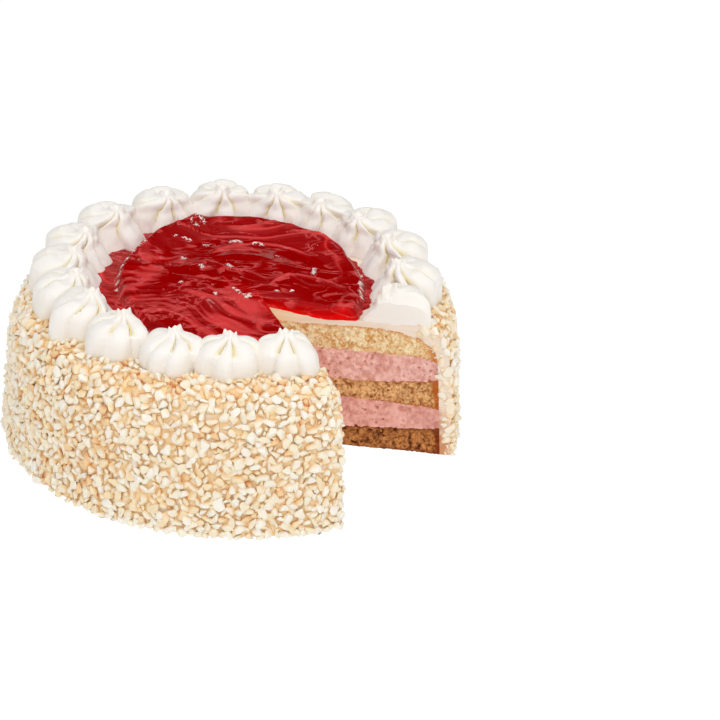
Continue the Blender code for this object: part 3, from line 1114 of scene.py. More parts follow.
@dataclass
class CreamCoat:
    """The whipped cream over the top and down the side, which the nuts are pressed into.

    The mesh has steps over the flat top and down the side, and rows from the sponges out to the
    surface. Lump and smear say how uneven the side and the top are, and streak the same of the cut
    faces, by the knife and by softer hills. Crumbs stain these low down and next to the sponges.
    """

    rays: int = 340
    plateau_steps: int = 78
    side_steps: int = 58
    rows: int = 12
    fade_steps: int = 4
    under_nuts: float = -0.0002
    lump: float = 0.0005
    smear: float = 0.0004
    lap: float = 0.0002
    corner: float = 0.9
    streak: Pair = (0.00016, 0.0002)
    stain: Pair = (0.55, 0.25)

    def side(self) -> Array:
        """Lay out the outer surface from the flat top's edge down to the table.

        Returns:
            Radii and heights, one pair in each row.
        """
        curve = curve_through(np.array((*SHOULDER, (STACK.coat_foot, 0.0))), self.side_steps + 1)
        curve[:, 0] -= self.under_nuts * ramp(curve[:, 0], curve[0, 0], 0.01)
        return curve

    def top_height(self, plan: Array) -> Array:
        """Give the height of the spread flat top.

        Args:
            plan: places on the plan.

        Returns:
            The heights.
        """
        flat = lifted(plan, 0.0)
        smears = self.smear * Grain(23).swell(flat, (0.016, 0.007, 1.0))
        smears = smears + self.smear * 0.4 * Grain(29).swell(flat, 0.004)
        return height_on(STACK.coat_top, length(plan)) + smears

    def sheets(self) -> tuple[Array, Array]:
        """Lay out the cream's inner and outer surface, from the tip over the top and down the side.

        Returns:
            Two sheets of rays, steps and coordinates.
        """
        angles, shares = CUT.rays(self.rays), np.linspace(0, 1, self.plateau_steps)
        side, (edge, edge_height) = self.side(), STACK.top_sponge[-1]
        outer_plan, inner_plan = (CUT.spots(angles, shares, radius) for radius in (side[0, 0], edge))
        outer = [lifted(outer_plan, self.top_height(outer_plan))]
        inner = [lifted(inner_plan, height_on(STACK.top_sponge, length(inner_plan)) - self.lap)]
        for (radius, height), share in zip(side[1:], np.linspace(1, 0, self.side_steps + 1)[1:]):
            low = edge_height * share
            outer.append(lifted(CUT.ring(angles, radius), height))
            inner.append(lifted(CUT.ring(angles, STACK.radius(low) if share < self.corner else edge), low))
        near, far = np.concatenate(inner, axis=1), np.concatenate(outer, axis=1)
        rim = far[:, self.plateau_steps :]
        lumps = self.lump * Grain(61).rough(rim, 0.007)
        rim[..., :2] += lumps[..., None] * (rim[..., :2] / length(rim[..., :2])[..., None])
        return near, far

    def build(self, material: bpy.types.Material) -> None:
        """Make and dress the cream.

        Args:
            material: its finish.
        """
        points = CUT.squeezed(between(*self.sheets(), self.rows))
        outside, stain = np.zeros(points.shape[:3]), np.zeros(points.shape[:3])
        outside[1:-1, self.plateau_steps + 3 :, -1] = 1.0
        for face in Face:
            spots = points[face.value].copy()
            streaks = self.streak[0] * Grain(83).swell(spots, (0.03, 0.03, 0.0013))
            hills = self.streak[1] * Grain(87).rough(spots, 0.006)
            CUT.carve(points, face, streaks + hills, self.fade_steps)
            low = self.stain[0] * ease((0.034 - spots[..., 2]) / 0.030)
            soaked = low + self.stain[1] * (1 - np.linspace(0, 1, self.rows))
            stain[face.value, self.plateau_steps :] = soaked[self.plateau_steps :]
        points[..., 2] = np.maximum(points[..., 2], 0.0)
        piece = block("cream_coat_cream", points, {"outside": outside, "stain": stain}, math.radians(50))
        settle(piece, material, "whipped_cream", "cream_coat")


class Toast(Enum):
    """How far a kind of chopped nut is toasted, with the share of all nuts up to and with this kind."""

    BLANCHED = ("blanched", 0.30)
    IVORY = ("ivory", 0.60)
    CREAMY = ("creamy", 0.82)
    GOLDEN = ("golden", 0.965)
    BROWNED = ("browned", 1.00)


@dataclass
class NutCrust:
    """The chopped nuts that cover the side, the shoulder and the outer edge of the top.

    Nuts on the top, which starts at a height, keep clear of the rosettes' middles. Widths and
    thicknesses are shares of the length, closeness is how near two nuts lie as a share of their
    lengths together, and the skirt is how much prouder they stand at the table. More nuts are tried at
    the cut's two outer edges, whose directions the rims give. Nuts beside a cut face are pushed in by
    up to a distance, and stand out of it by no more than the overhang.
    """

    coat: CreamCoat
    rosettes: Array
    rosette_room: float = 0.0128
    top_from: float = 0.0655
    tries: int = 52000
    innermost: float = 0.0795
    longest: float = 0.0064
    shortest: float = 0.0023
    lengths: Pair = (1.7, 2.6)
    widths: Pair = (0.52, 0.95)
    thicks: Pair = (0.6, 0.85)
    closeness: float = 0.285
    skirt: float = 0.0007
    skirt_height: float = 0.005
    proud: Pair = (0.0016, 0.0026)
    tilt: float = 0.42
    rims: Pair = (-17.4, -63.8)
    rim_share: float = 0.07
    rim_spread: float = 0.022
    beside: float = 0.0022
    pushed: float = 0.0046
    overhang: Pair = (0.0008, 0.0022)
    clusters: float = 0.16
    shelf_shade: float = 0.10
    shapes: int = 48
    seed: int = 8

    def shape(self, draw: np.random.Generator) -> tuple[Array, Array]:
        """Chop one nut out of a ball, by flat cuts.

        Args:
            draw: the source of its draws.

        Returns:
            Its points, which reach from -0.5 to 0.5 on each axis, and its triangles.
        """
        ball = bmesh.new()
        bmesh.ops.create_icosphere(ball, subdivisions=2, radius=1.0)
        points = np.array([vert.co for vert in ball.verts])
        faces = np.array([[vert.index for vert in face.verts] for face in ball.faces])
        ball.free()
        power = draw.uniform(2.2, 3.6)
        points /= (np.abs(points) ** power).sum(axis=1, keepdims=True) ** (1 / power)
        for _ in range(draw.integers(7, 11)):
            toward = draw.normal(size=3)
            toward /= np.linalg.norm(toward)
            beyond = points @ toward - draw.uniform(0.42, 0.8)
            points -= np.maximum(beyond, 0)[:, None] * toward
        points += draw.normal(scale=0.03, size=points.shape)
        points -= (points.max(axis=0) + points.min(axis=0)) / 2
        return points / np.ptp(points, axis=0), faces

    def track(self) -> tuple[Array, Array]:
        """Lay out the surface under the nuts, from the table up and over onto the top.

        Returns:
            Distances along it, and radius and height at each, one pair in each row.
        """
        inward = [(radius, height_on(STACK.coat_top, radius)) for radius in (0.084, self.innermost)]
        line = np.vstack((self.coat.side()[::-1], inward))
        return np.concatenate(([0.0], np.cumsum(length(np.diff(line, axis=0))))), line

    def places(self, draw: np.random.Generator) -> list[tuple[Array, Array, float]]:
        """Scatter nuts so that they touch but hardly overlap, the largest first.

        Args:
            draw: the source of the draws.

        Returns:
            Each nut's foot, the direction out of the cream there, and the nut's length.
        """
        track, line = self.track()
        sizes = self.shortest + (self.longest - self.shortest) * draw.beta(*self.lengths, self.tries)
        sizes = np.sort(sizes)[::-1]
        alongs = draw.uniform(0, track[-1], self.tries)
        turns = draw.uniform(0, math.tau, self.tries)
        rims = draw.choice(np.radians(self.rims), self.tries)
        rims = rims + draw.normal(scale=self.rim_spread, size=self.tries)
        turns = np.where(draw.uniform(0, 1, self.tries) < self.rim_share, rims, turns)
        radii, heights = (np.interp(alongs, track, part) for part in line.T)
        ahead, behind = (np.clip(alongs + span, 0, track[-1]) for span in (0.0012, -0.0012))
        run, lift = (np.interp(ahead, track, part) - np.interp(behind, track, part) for part in line.T)
        tilt = np.hypot(run, lift)
        spots = np.column_stack((radii * np.cos(turns), radii * np.sin(turns), heights))
        normals = np.column_stack((lift / tilt * np.cos(turns), lift / tilt * np.sin(turns), -run / tilt))
        kept = draw.uniform(0, 1, self.tries) < radii / STACK.coat_foot
        kept &= CUT.inside(spots) > -0.0005
        kept &= (clearance(spots[:, :2], self.rosettes) > self.rosette_room) | (heights < self.top_from)
        beside = CUT.inside(spots) < self.beside
        spots[beside] -= normals[beside] * draw.uniform(0, self.pushed, (np.count_nonzero(beside), 1))
        spots, normals, sizes = (part[kept] for part in (CUT.squeezed(spots), normals, sizes))
        return [(spots[one], normals[one], sizes[one]) for one in self.sieved(spots, sizes)]

    def sieved(self, spots: Array, sizes: Array) -> list[int]:
        """Leave out the nuts that would lie too near to a larger one.

        Args:
            spots: the nuts' feet, the largest nut's first.
            sizes: their lengths.

        Returns:
            The numbers of the nuts that stay.
        """
        taken: dict[tuple[int, ...], list[tuple[Array, float]]] = {}
        stay = []
        for number, (spot, size) in enumerate(zip(spots, sizes)):
            home = tuple(np.floor(spot / self.longest).astype(int).tolist())
            rooms = itertools.product(*((part - 1, part, part + 1) for part in home))
            crowd = (other for room in rooms for other in taken.get(room, ()))
            if all(math.dist(spot, other) > self.closeness * (size + its) for other, its in crowd):
                taken.setdefault(home, []).append((spot, size))
                stay.append(number)
        return stay

    def kind(self, spot: Array, draw: np.random.Generator) -> Toast:
        """Choose how far a nut is toasted.

        Args:
            spot: its foot.
            draw: the source of the draw.

        Returns:
            Its kind.
        """
        cluster = self.clusters * float(Grain(5).swell(spot, 0.011))
        # Painted shade: nuts on the top, by the rosettes' feet, are drawn toastier and so darker.
        shelf_shade = self.shelf_shade * float(ramp(spot[2], 0.0600, 0.0050))
        lot = min(max(draw.uniform(0, 1) + cluster + shelf_shade, 0.0), 1.0)
        return next(kind for kind in Toast if lot <= kind.value[1])

    def nut(
        self, shapes: list[Array], spot: Array, normal: Array, size: float, draw: np.random.Generator
    ) -> tuple[Array, Array]:
        """Size, turn and tip one nut and press it into the cream.

        Args:
            shapes: the shapes to choose from.
            spot: its foot.
            normal: the direction out of the cream there.
            size: its length.
            draw: the source of its draws.

        Returns:
            Its points, and how far each rises out of the cream, from 0 to 1.
        """
        width, thick = (size * draw.uniform(*shares) for shares in (self.widths, self.thicks))
        bulk = (size - self.shortest) / (self.longest - self.shortest)
        top = draw.uniform(*self.proud) * (0.75 + 0.5 * bulk)
        top = top + self.skirt * math.exp(-spot[2] / self.skirt_height)
        points = shapes[draw.integers(self.shapes)] * (size, width, thick)
        turn = Matrix.Rotation(draw.uniform(0, math.tau), 3, "Z")
        tips = [Matrix.Rotation(draw.normal(scale=self.tilt), 3, axis) for axis in "XY"]
        stand = Vector(normal).to_track_quat("Z", "Y").to_matrix()
        middle = spot + normal * (top - thick / 2)
        points = points @ np.array(stand @ turn @ (tips[0] @ tips[1])).T + middle
        rise = np.clip((points - spot) @ normal / 0.0030, 0, 1)
        points, beyond = CUT.trimmed(points, draw.uniform(*self.overhang))
        points[:, 2] = np.maximum(points[:, 2], 0.0)
        return points, np.maximum(rise, np.clip(beyond / 0.001, 0, 0.9))

    def build(self, finishes: dict[Toast, bpy.types.Material]) -> None:
        """Make and dress the nuts, one piece for each kind.

        Args:
            finishes: the finish of each kind.
        """
        draw = np.random.default_rng(self.seed)
        shapes, faces = zip(*(self.shape(draw) for _ in range(self.shapes)))
        heaps: dict[Toast, list[tuple[Array, Array, float]]] = {kind: [] for kind in Toast}
        for spot, normal, size in self.places(draw):
            kind = self.kind(spot, draw)
            heaps[kind].append((*self.nut(shapes, spot, normal, size, draw), draw.uniform(0, 1)))
        count = len(shapes[0])
        for kind, heap in heaps.items():
            nuts, rises, shades = zip(*heap)
            starts = np.arange(len(heap))[:, None, None] * count
            joined = (faces[0] + starts).reshape(-1, 3).tolist()
            tones = {"rise": np.concatenate(rises), "shade": np.repeat(shades, count)}
            name = "nuts_" + kind.value[0]
            piece = piece_from(name, np.concatenate(nuts), joined, tones, math.radians(32))
            settle(piece, finishes[kind], "nut_coat", "cream_coat")


@dataclass(frozen=True)
class Rosettes:
    """The ring of piped rosettes, each a dome of rounded petals under a small open crown.

    Angles are in degrees, clockwise from the cut's front face, and the smaller its plump value is, the
    broader is a rosette's top. The foremost petal has a width of its own and flares at the foot. The
    petals before, at and after it differ in size as given. Strengths are depths of grooves: of most,
    of those beside the foremost petal, and the least behind. Form holds shares of the height and of the
    radius, from the foot over the shoulder to the crown, and valleys how deep the petals are parted.
    The tips of the crown have directions and heights. The knife pressed sliced rosettes down by up to
    the slump, near the cut.
    """

    ring: float = 0.0752
    ring_centre: Pair = (-0.0014, 0.0026)
    angles: tuple[float, ...] = (
        -72.5, -91.5, -110.5, -131.0, -149.5, -165.5, -182.5, -199.5, -220.0,
        -243.0, -264.5, -284.5, -302.5, -320.5, -341.0, -361.5, -381.0,
    )
    radii: tuple[float, ...] = (
        0.0150, 0.0152, 0.0154, 0.0158, 0.0164, 0.0168, 0.0170, 0.0170, 0.0168,
        0.0166, 0.0164, 0.0164, 0.0166, 0.0170, 0.0172, 0.0172, 0.0164,
    )
    plump: tuple[float, ...] = (
        0.95, 0.95, 0.88, 0.70, 0.56, 0.48, 0.44, 0.44, 0.46,
        0.50, 0.50, 0.50, 0.46, 0.44, 0.44, 0.50, 0.62,
    )
    crown_reach: float = 0.0132
    height: float = 0.0175
    foot: float = 0.0664
    sunk: float = 0.0010
    petals: int = 7
    twist: float = math.radians(14)
    sway: float = 0.10
    unevenness: float = 0.28
    foremost: float = 0.70
    flare: float = 0.9
    strengths: Pair = (0.22, 0.65)
    fore_strengths: Pair = (1.0, 1.35)
    back_strength: float = 1.05
    sizes: Triple = (0.06, -0.06, 0.03)
    merging: float = 0.48
    fore_drop: float = 0.08
    bulge: float = 0.0036
    around: int = 144
    rows: int = 64
    form: Profile = (
        (0.0, 0.99), (0.08, 1.0), (0.20, 1.0), (0.34, 0.98), (0.46, 0.94), (0.56, 0.875), (0.66, 0.80),
        (0.74, 0.71), (0.80, 0.60), (0.84, 0.49), (0.87, 0.38), (0.90, 0.27), (0.94, 0.185), (1.0, 0.125),
    )
    valleys: Profile = (
        (0.0, 0.19), (0.15, 0.19), (0.4, 0.18), (0.58, 0.19), (0.68, 0.23), (0.78, 0.28), (0.86, 0.24),
        (0.92, 0.12), (1.0, 0.06),
    )
    slump_width: float = 0.0050
    slump: float = 0.34
    tips: Profile = ((0.1, 1.0), (math.pi - 0.1, 1.0), (math.pi / 2, 0.4))
    tip_width: float = 0.45
    tip_height: float = 0.0020
    wobble: float = 0.0007

    def crowns(self) -> Array:
        """Give the places of the rosettes' crowns on the plan."""
        turned = np.radians(self.angles)
        return np.array(self.ring_centre) + self.ring * np.column_stack((np.cos(turned), np.sin(turned)))

    def middles(self) -> Array:
        """Give the middles of the rosettes' feet, a little further out than their crowns."""
        crowns = self.crowns()
        return crowns * (1 + (np.array(self.radii) - self.crown_reach) / length(crowns))[:, None]

    def build(self, material: bpy.types.Material) -> None:
        """Make and dress every rosette.

        Args:
            material: their finish.
        """
        for index in range(len(self.angles)):
            name = f"rosette_{index + 1:02d}"
            settle(Piping(self, index).piece(name + "_piped"), material, "whipped_cream", name)


class Piping:
    """One rosette as it is piped, with the values that its steps share."""

    def __init__(self, sizes: Rosettes, index: int) -> None:
        """Lay out the rosette's section in every direction.

        Args:
            sizes: the rosettes' sizes.
            index: the rosette's number, from 0.
        """
        self.sizes, self.index = sizes, index
        self.draw = np.random.default_rng(100 + index)
        self.crown, self.middle = sizes.crowns()[index], sizes.middles()[index]
        plump = sizes.plump[index]
        hollow = [(1 - 0.07 * ease(share), 0.16 * (1 - share)) for share in (0.3, 0.6, 0.85)]
        line = np.vstack((curve_through(np.array(sizes.form), sizes.rows), hollow))
        self.fore = ramp(plump, 0.5, 0.4)
        lower = 1 - sizes.fore_drop * self.fore
        self.height = line[:, :1] * sizes.height * self.draw.uniform(0.97, 1.02) * lower
        self.rise, reach = np.minimum(line[:, :1], 1.0), line[:, 1:]
        self.angle = math.tau * np.arange(sizes.around)[None] / sizes.around
        away = np.cos(self.angle - math.atan2(self.crown[1], self.crown[0]))
        self.outer, self.inner = np.maximum(away, 0) ** 2, ease((-away - 0.05 - 0.2 * self.fore) / 0.7)
        beside = (1 - away**2) * (self.fore + (1 - self.fore) * ramp(away, -0.45, 0.5))
        broad = 1 - (1 - plump) * self.outer - sizes.merging * beside
        reach = reach + (reach**broad - reach) * ramp(reach, 0.18, 0.3)
        self.lift = sizes.bulge * (1 - plump) * self.outer * ramp(reach, 0.35, 0.4) * ease(self.rise / 0.5)
        tent = 1 - 0.86 * self.rise**1.15
        self.reach = reach + np.minimum(tent - reach, 0) * 0.75 * self.inner

    def petal(self, place: Array) -> tuple[Array, Array]:
        """Shape the petals and the thin folds between them.

        Args:
            place: shares of the way from one groove to the next.

        Returns:
            How low the surface lies between two petals, and how deep in a fold it is, each from 0 to 1.
        """
        rise, low = self.rise, self.inner
        across = np.abs(2 * place - 1)
        round_back = np.sqrt(np.clip(1 - across**2.4, 0, 1))
        soft_back = 0.4 * np.cos(across * math.pi / 2) ** 2 + 0.6 * round_back
        sharp = ease((rise - 0.35 + 0.2 * low) / 0.35)
        reaches = ease((rise - 0.62 + 0.3 * low) / 0.12) * (1 - ramp(rise, 0.87, 0.05))
        return 1 - soft_back * (1 - sharp) - round_back * sharp, bell((1 - across) / 0.13) * reaches

    def turns(self) -> Array:
        """Number the directions by petals, so that petals differ in width and twist on the way up.

        Returns:
            How many petals each place lies from the groove before the foremost petal.
        """
        sizes, draw, rise = self.sizes, self.draw, self.rise
        facing = -math.pi / 2 + draw.normal(scale=0.13)
        steady = sizes.twist * rise * draw.uniform(0.2, 1.0)
        steady = steady + sizes.sway * np.sin(math.pi * rise) * draw.choice((-1, 1))
        widths = draw.uniform(1 - sizes.unevenness, 1 + sizes.unevenness, sizes.petals)
        widths[0] = sizes.foremost
        grooves = np.concatenate(([0.0], np.cumsum(widths) * sizes.petals / widths.sum()))
        turned = (self.angle - facing - steady + math.pi) % math.tau - math.pi
        turned = turned / (1 + sizes.flare * (1 - rise) * bell(turned))
        around = (turned / math.tau * sizes.petals + grooves[1] / 2) % sizes.petals
        return np.interp(around, grooves, np.arange(sizes.petals + 1))

    def grooved(self, turns: Array) -> tuple[Array, Array]:
        """Give every groove its own depth.

        Args:
            turns: the places' numbers by petals.

        Returns:
            How low the surface lies between two petals, and how deep in a fold it is.
        """
        sizes, draw = self.sizes, self.draw
        skew = draw.choice((draw.uniform(0.62, 0.85), draw.uniform(1.2, 1.55)))
        valley, fold = self.petal((turns % 1.0) ** skew)
        strength = draw.uniform(*sizes.strengths, sizes.petals + 1)
        strength[:2] = draw.uniform(*sizes.fore_strengths, 2)
        strength[-1] = strength[0]
        strong = np.interp(turns, np.arange(sizes.petals + 1), strength)
        strong = strong * (1 - 0.45 * self.outer * (1 - self.fore))
        behind = ramp(np.sin(self.angle), -0.2, 0.5) * (1 - ramp(self.rise, 0.60, 0.2))
        strong = strong + np.maximum(sizes.back_strength - strong, 0) * behind
        return valley * strong, fold * np.clip(strong, 0, 1)

    def fullness(self, turns: Array) -> Array:
        """Make every petal a little fuller or leaner than the others.

        Args:
            turns: the places' numbers by petals.

        Returns:
            How much fuller each place is, as a share.
        """
        petals = self.sizes.petals
        size = self.draw.normal(scale=0.045, size=petals)
        size[[-1, 0, 1]] += self.sizes.sizes
        place = (turns - 0.5) % petals
        later = ease((place % 1.0 - 0.5) / 0.24 + 0.5)
        first = place.astype(int)
        return size[first % petals] * (1 - later) + size[(first + 1) % petals] * later

    def spikes(self) -> Array:
        """Pull the crown up into tips.

        Returns:
            How far it is pulled up in each direction, from 0 to about 1.
        """
        turned = self.draw.normal(scale=0.3, size=len(self.sizes.tips))
        return sum(
            tall * bell(np.arccos(np.cos(self.angle - (toward + shift))) / self.sizes.tip_width)
            for (toward, tall), shift in zip(self.sizes.tips, turned)
        )

    def sliced(self, plan: Array) -> tuple[Array, Array, Array]:
        """Draw places behind the knife's cuts, towards the rosette's middle.

        Args:
            plan: places measured from the rosette's middle.

        Returns:
            The places, none of them in the missing slice, which of them the knife moved, and how
            much the knife pressed each down, from 0 to 1.
        """
        moved, slump = np.zeros(plan.shape[:-1], bool), np.zeros(plan.shape[:-1])
        for end, face in ((0, Face.FRONT), (len(self.sizes.angles) - 1, Face.RIGHT)):
            if self.index == end:
                beyond = plan @ CUT.outward(face)[:2]
                room = float(CUT.depth(self.middle, face))
                moved, held = beyond > room, np.minimum(beyond, room)
                plan = plan * (held / np.where(np.abs(beyond) < 1e-9, 1e-9, beyond))[..., None]
                slump = ease((held - room) / self.sizes.slump_width + 1)
        return plan, moved, slump

    def piece(self, name: str) -> bpy.types.Object:
        """Pipe the rosette.

        Args:
            name: the piece's name.

        Returns:
            The piece.
        """
        sizes, rise, angle = self.sizes, self.rise, self.angle
        turns = self.turns()
        valley, fold = self.grooved(turns)
        fullness = self.fullness(turns)
        radius = sizes.radii[self.index] * self.draw.uniform(0.98, 1.02)
        spikes = self.spikes()
        parted = height_on(sizes.valleys, rise)
        parted = parted + 0.09 * self.inner * ease(rise / 0.3) * ease((0.8 - rise) / 0.2)
        spread = radius * self.reach * (1 - parted * valley - 0.04 * fold) * (1 + fullness * (1 - rise**3))
        crowned = ramp(rise, 0.88, 0.12) * np.clip(self.reach / 0.13, 0, 1)
        spread = spread * (1 + 0.45 * spikes * crowned)
        plan = np.stack((spread * np.cos(angle), spread * np.sin(angle)), axis=-1)
        plan = plan + (self.crown - self.middle) * ramp(rise, 0.55, 0.38)[..., None]
        plan, knifed, pressed = self.sliced(plan)
        plan = plan + self.middle
        top = ramp(rise, 0.60, 0.16) * (1 - ramp(rise, 0.90, 0.07))
        height = self.height * (1 + 1.2 * fullness * rise * (1 - rise))
        height = height + sizes.tip_height * spikes * crowned
        height = height - np.where(knifed, 0, (0.0015 * valley + 0.0006 * fold) * top) + self.lift
        points = lifted(plan, sizes.foot + height * (1 - sizes.slump * pressed))
        wobble = sizes.wobble * Grain(200 + self.index).rough(points, 0.008)
        wobble = wobble * (0.4 + 0.6 * np.sin(math.pi * rise))
        drop = np.minimum(height_on(SHOULDER, length(plan)) - SHOULDER[0][1], 0)
        points[..., 2] += wobble + drop * (1 - rise) ** 2
        points[0, :, 2] -= sizes.sunk
        # The fold tone is painted shade in the valleys near the top and in the thin folds; it also darkens
        # and yellows the outer foot.
        groove = 0.12 * valley * top + 0.85 * fold + 0.6 * self.outer * ease((0.14 - rise) / 0.14)
        return self.closed(name, points, np.where(knifed, 0, np.clip(groove, 0, 1)))

    @staticmethod
    def closed(name: str, rings: Array, groove: Array) -> bpy.types.Object:
        """Close stacked rings into a piece, with a flat foot and a hollow crown.

        Args:
            name: the piece's name.
            rings: rings of points, from the foot up and into the crown.
            groove: how deep in a groove each point is.

        Returns:
            The piece.
        """
        rows, around = rings.shape[:2]
        number = np.arange(rows * around).reshape(rows, around)
        looped = np.concatenate((number, number[:, :1]), axis=1)
        faces = sheet(looped, True).tolist()
        pit, foot = rows * around, rows * around + 1
        faces += [(here, there, pit) for here, there in itertools.pairwise(looped[-1].tolist())]
        faces += [(there, here, foot) for here, there in itertools.pairwise(looped[0].tolist())]
        ends = (rings[-1].mean(axis=0) - (0, 0, 0.0003), rings[0].mean(axis=0))
        points = np.concatenate((rings.reshape(-1, 3), ends))
        # The crown's pit gets a little painted shade.
        tones = {"fold": np.concatenate((groove.ravel(), (0.15, 0.0)))}
        return piece_from(name, points, faces, tones, math.radians(75))


@dataclass(frozen=True)
class Stroke:
    """A ridge that the spatula left along an arc, between two directions in degrees."""

    centre: Pair
    radius: float
    start: float
    end: float
    tall: float = 0.0006
    wide: float = 0.0012

    def ridge(self, plan: Array) -> Array:
        """Raise the ridge.

        Args:
            plan: places on the plan.

        Returns:
            Heights in metres.
        """
        bearing, distance = measured(plan, self.centre)
        along = ramp(bearing, self.start, 25) * ease((self.end - bearing) / 25)
        return self.tall * along * bell((distance - self.radius) / self.wide)


@dataclass
class JellyPool:
    """The pool of jelly: thick, drawn with a spatula, with torn thin ends at its left and right.

    Both outlines hold directions in degrees and radii from the centre: of the thick jelly and of its
    drawn-out film. It lies higher against the back rosettes. Knobs are humps: place, radius and height.
    Crease holds the heights of creases, wrinkles, streaks and rolls. Beads are bubbles, which catch the
    lamps and carry painted glints, and the chain gives directions of more of them along the left edge. Swell
    is how far the cut faces swell and how deep their dents are.
    """

    rosettes: Array
    centre: Pair = (-0.0008, 0.0016)
    radii: Profile = (
        (-40, 0.0615), (-20, 0.0610), (-2, 0.0598), (10, 0.0600), (20, 0.0610), (39, 0.0632), (62, 0.0645),
        (85, 0.0655), (112, 0.0672), (122, 0.0652), (132, 0.0628), (141, 0.0608), (150, 0.0596),
        (165, 0.0580), (185, 0.0560), (205, 0.0555), (235, 0.0590), (320, 0.0625),
    )
    film_radii: Profile = (
        (-40, 0.0612), (-20, 0.0618), (-10, 0.0632), (-3, 0.0652), (15, 0.0655), (30, 0.0645), (62, 0.0650),
        (85, 0.0660), (112, 0.0705), (124, 0.0745), (135, 0.0755), (150, 0.0712), (165, 0.0680),
        (180, 0.0655), (195, 0.0625), (210, 0.0592), (235, 0.0592), (320, 0.0628),
    )
    thickness: float = 0.0064
    film: float = 0.0012
    back_rise: float = 0.0034
    edge_round: float = 0.0032
    edge_width: float = 0.0042
    knobs: tuple[tuple[float, float, float, float], ...] = (
        (-0.0210, 0.0585, 0.0045, 0.0028), (-0.0022, 0.0427, 0.0030, 0.0007),
        (0.0085, 0.0390, 0.0030, 0.0007),
    )
    marks: tuple[Stroke, ...] = (
        Stroke((0.033, -0.014), 0.019, 20, 175, 0.0008),
        Stroke((0.010, 0.012), 0.028, 25, 150),
        Stroke((0.022, 0.020), 0.031, 10, 100),
        Stroke((-0.006, 0.000), 0.022, 200, 320),
    )
    crease: tuple[float, float, float, float] = (0.0006, 0.00036, 0.00032, 0.0003)
    beads: Profile = (
        (-0.0210, 0.0540), (-0.0185, 0.0575), (-0.0235, 0.0560), (-0.0205, 0.0590), (-0.0170, 0.0560),
        (-0.0040, 0.0415), (-0.0026, 0.0419), (-0.0012, 0.0423), (0.0000, 0.0420), (0.0070, 0.0392),
        (0.0082, 0.0389), (0.0094, 0.0386), (0.0106, 0.0383), (-0.0165, 0.0387), (-0.0150, 0.0383),
        (-0.0261, 0.0438), (-0.0240, 0.0425), (-0.0304, 0.0448), (-0.0266, 0.0232), (-0.0252, 0.0222),
        (-0.0262, 0.0215), (-0.0178, 0.0108), (-0.0174, 0.0094), (-0.0052, 0.0124), (-0.0044, 0.0112),
        (-0.0040, 0.0100), (0.0178, 0.0251), (0.0351, 0.0131), (0.0349, 0.0117), (0.0354, 0.0150),
        (0.0346, 0.0100), (-0.0267, -0.0052), (-0.0108, -0.0178), (-0.0022, -0.0130), (-0.0008, -0.0152),
        (0.0008, -0.0176), (0.0022, -0.0196), (0.0036, -0.0216), (0.0050, -0.0205), (0.0046, -0.0185),
        (0.0567, 0.0171), (0.0572, 0.0152), (0.0562, 0.0190), (0.0575, 0.0180), (0.0564, 0.0013),
        (0.0569, 0.0030), (0.0572, -0.0010), (0.0567, -0.0070), (0.0562, -0.0052), (0.0570, -0.0090),
        (0.0176, -0.0140), (0.0246, -0.0118),
    )
    chain: tuple[float, ...] = (142, 146, 150.5, 152.5, 158, 160, 165, 171, 173, 178, 183)
    chain_radius: float = 0.0560
    bead_width: float = 0.0013
    bead_height: float = 0.0005
    swell: Pair = (0.00025, 0.0007)
    rosette_room: float = 0.0096
    rays: int = 520
    steps: int = 150
    rows: int = 12
    fade_steps: int = 6

    def edges(self, bearing: Array) -> tuple[Array, Array]:
        """Say where the thick jelly ends and where the thin ends run out.

        Args:
            bearing: directions in degrees from the pool's middle.

        Returns:
            Two distances from the pool's middle.
        """
        turned, angle = (bearing + 40) % 360 - 40, np.radians(bearing)
        waves = 0.0005 * np.sin(angle * 9 + 1.0) + 0.0003 * np.sin(angle * 23)
        teeth = 0.0012 * np.abs(np.sin(angle * 17 + 0.6)) + 0.0005 * np.sin(angle * 61)
        return height_on(self.radii, turned) + waves, height_on(self.film_radii, turned) - teeth

    def reach(self, angles: Array) -> Array:
        """Find how far the jelly runs along each ray from the cut's tip.

        Args:
            angles: the rays' directions.

        Returns:
            Radii of the ends, measured from the cake's axis.
        """
        radii = np.linspace(0.025, 0.075, 260)
        rays = np.concatenate([CUT.ring(angles, radius) for radius in radii], axis=1)
        bearing, distance = measured(rays, self.centre)
        inside = (distance < self.edges(bearing)[1]) & (clearance(rays, self.rosettes) > self.rosette_room)
        stop = np.argmin(inside, axis=1)
        return radii[np.where(inside.all(axis=1), len(radii) - 1, np.maximum(stop - 1, 0))]

    def strokes(self, plan: Array) -> tuple[Array, Array]:
        """Draw the spatula's marks.

        Args:
            plan: places on the plan.

        Returns:
            Heights in metres, and how streaky the surface is, from 0 to 1.
        """
        flat = lifted(plan, 0.0)
        left = ease(0.55 - plan[..., 0] / 0.05 - (plan[..., 1] - 0.01) / 0.11)
        sway = 0.013 * Grain(301).swell(flat, 0.034) + 0.45 * plan[..., 0] * left
        bend = 0.0045 * Grain(303).swell(flat, 0.012)
        warped = flat + np.stack((bend, sway + bend, np.zeros(bend.shape)), axis=-1)
        creases = 1 - np.abs(Grain(307).swell(warped, (0.028, 0.0115, 1.0)))
        wrinkles = 1 - np.abs(Grain(309).swell(warped, (0.014, 0.0062, 1.0)))
        streaks = Grain(311).swell(warped, (0.016, 0.0027, 1.0))
        crease, wrinkle, streak, roll = self.crease
        height = crease * creases**8 + wrinkle * wrinkles**7 * (0.3 + 0.7 * left)
        height = height + streak * streaks * (0.03 + 0.97 * left) + roll * Grain(317).swell(flat, 0.021)
        for mark in self.marks:
            height = height + mark.ridge(plan)
        return height, left

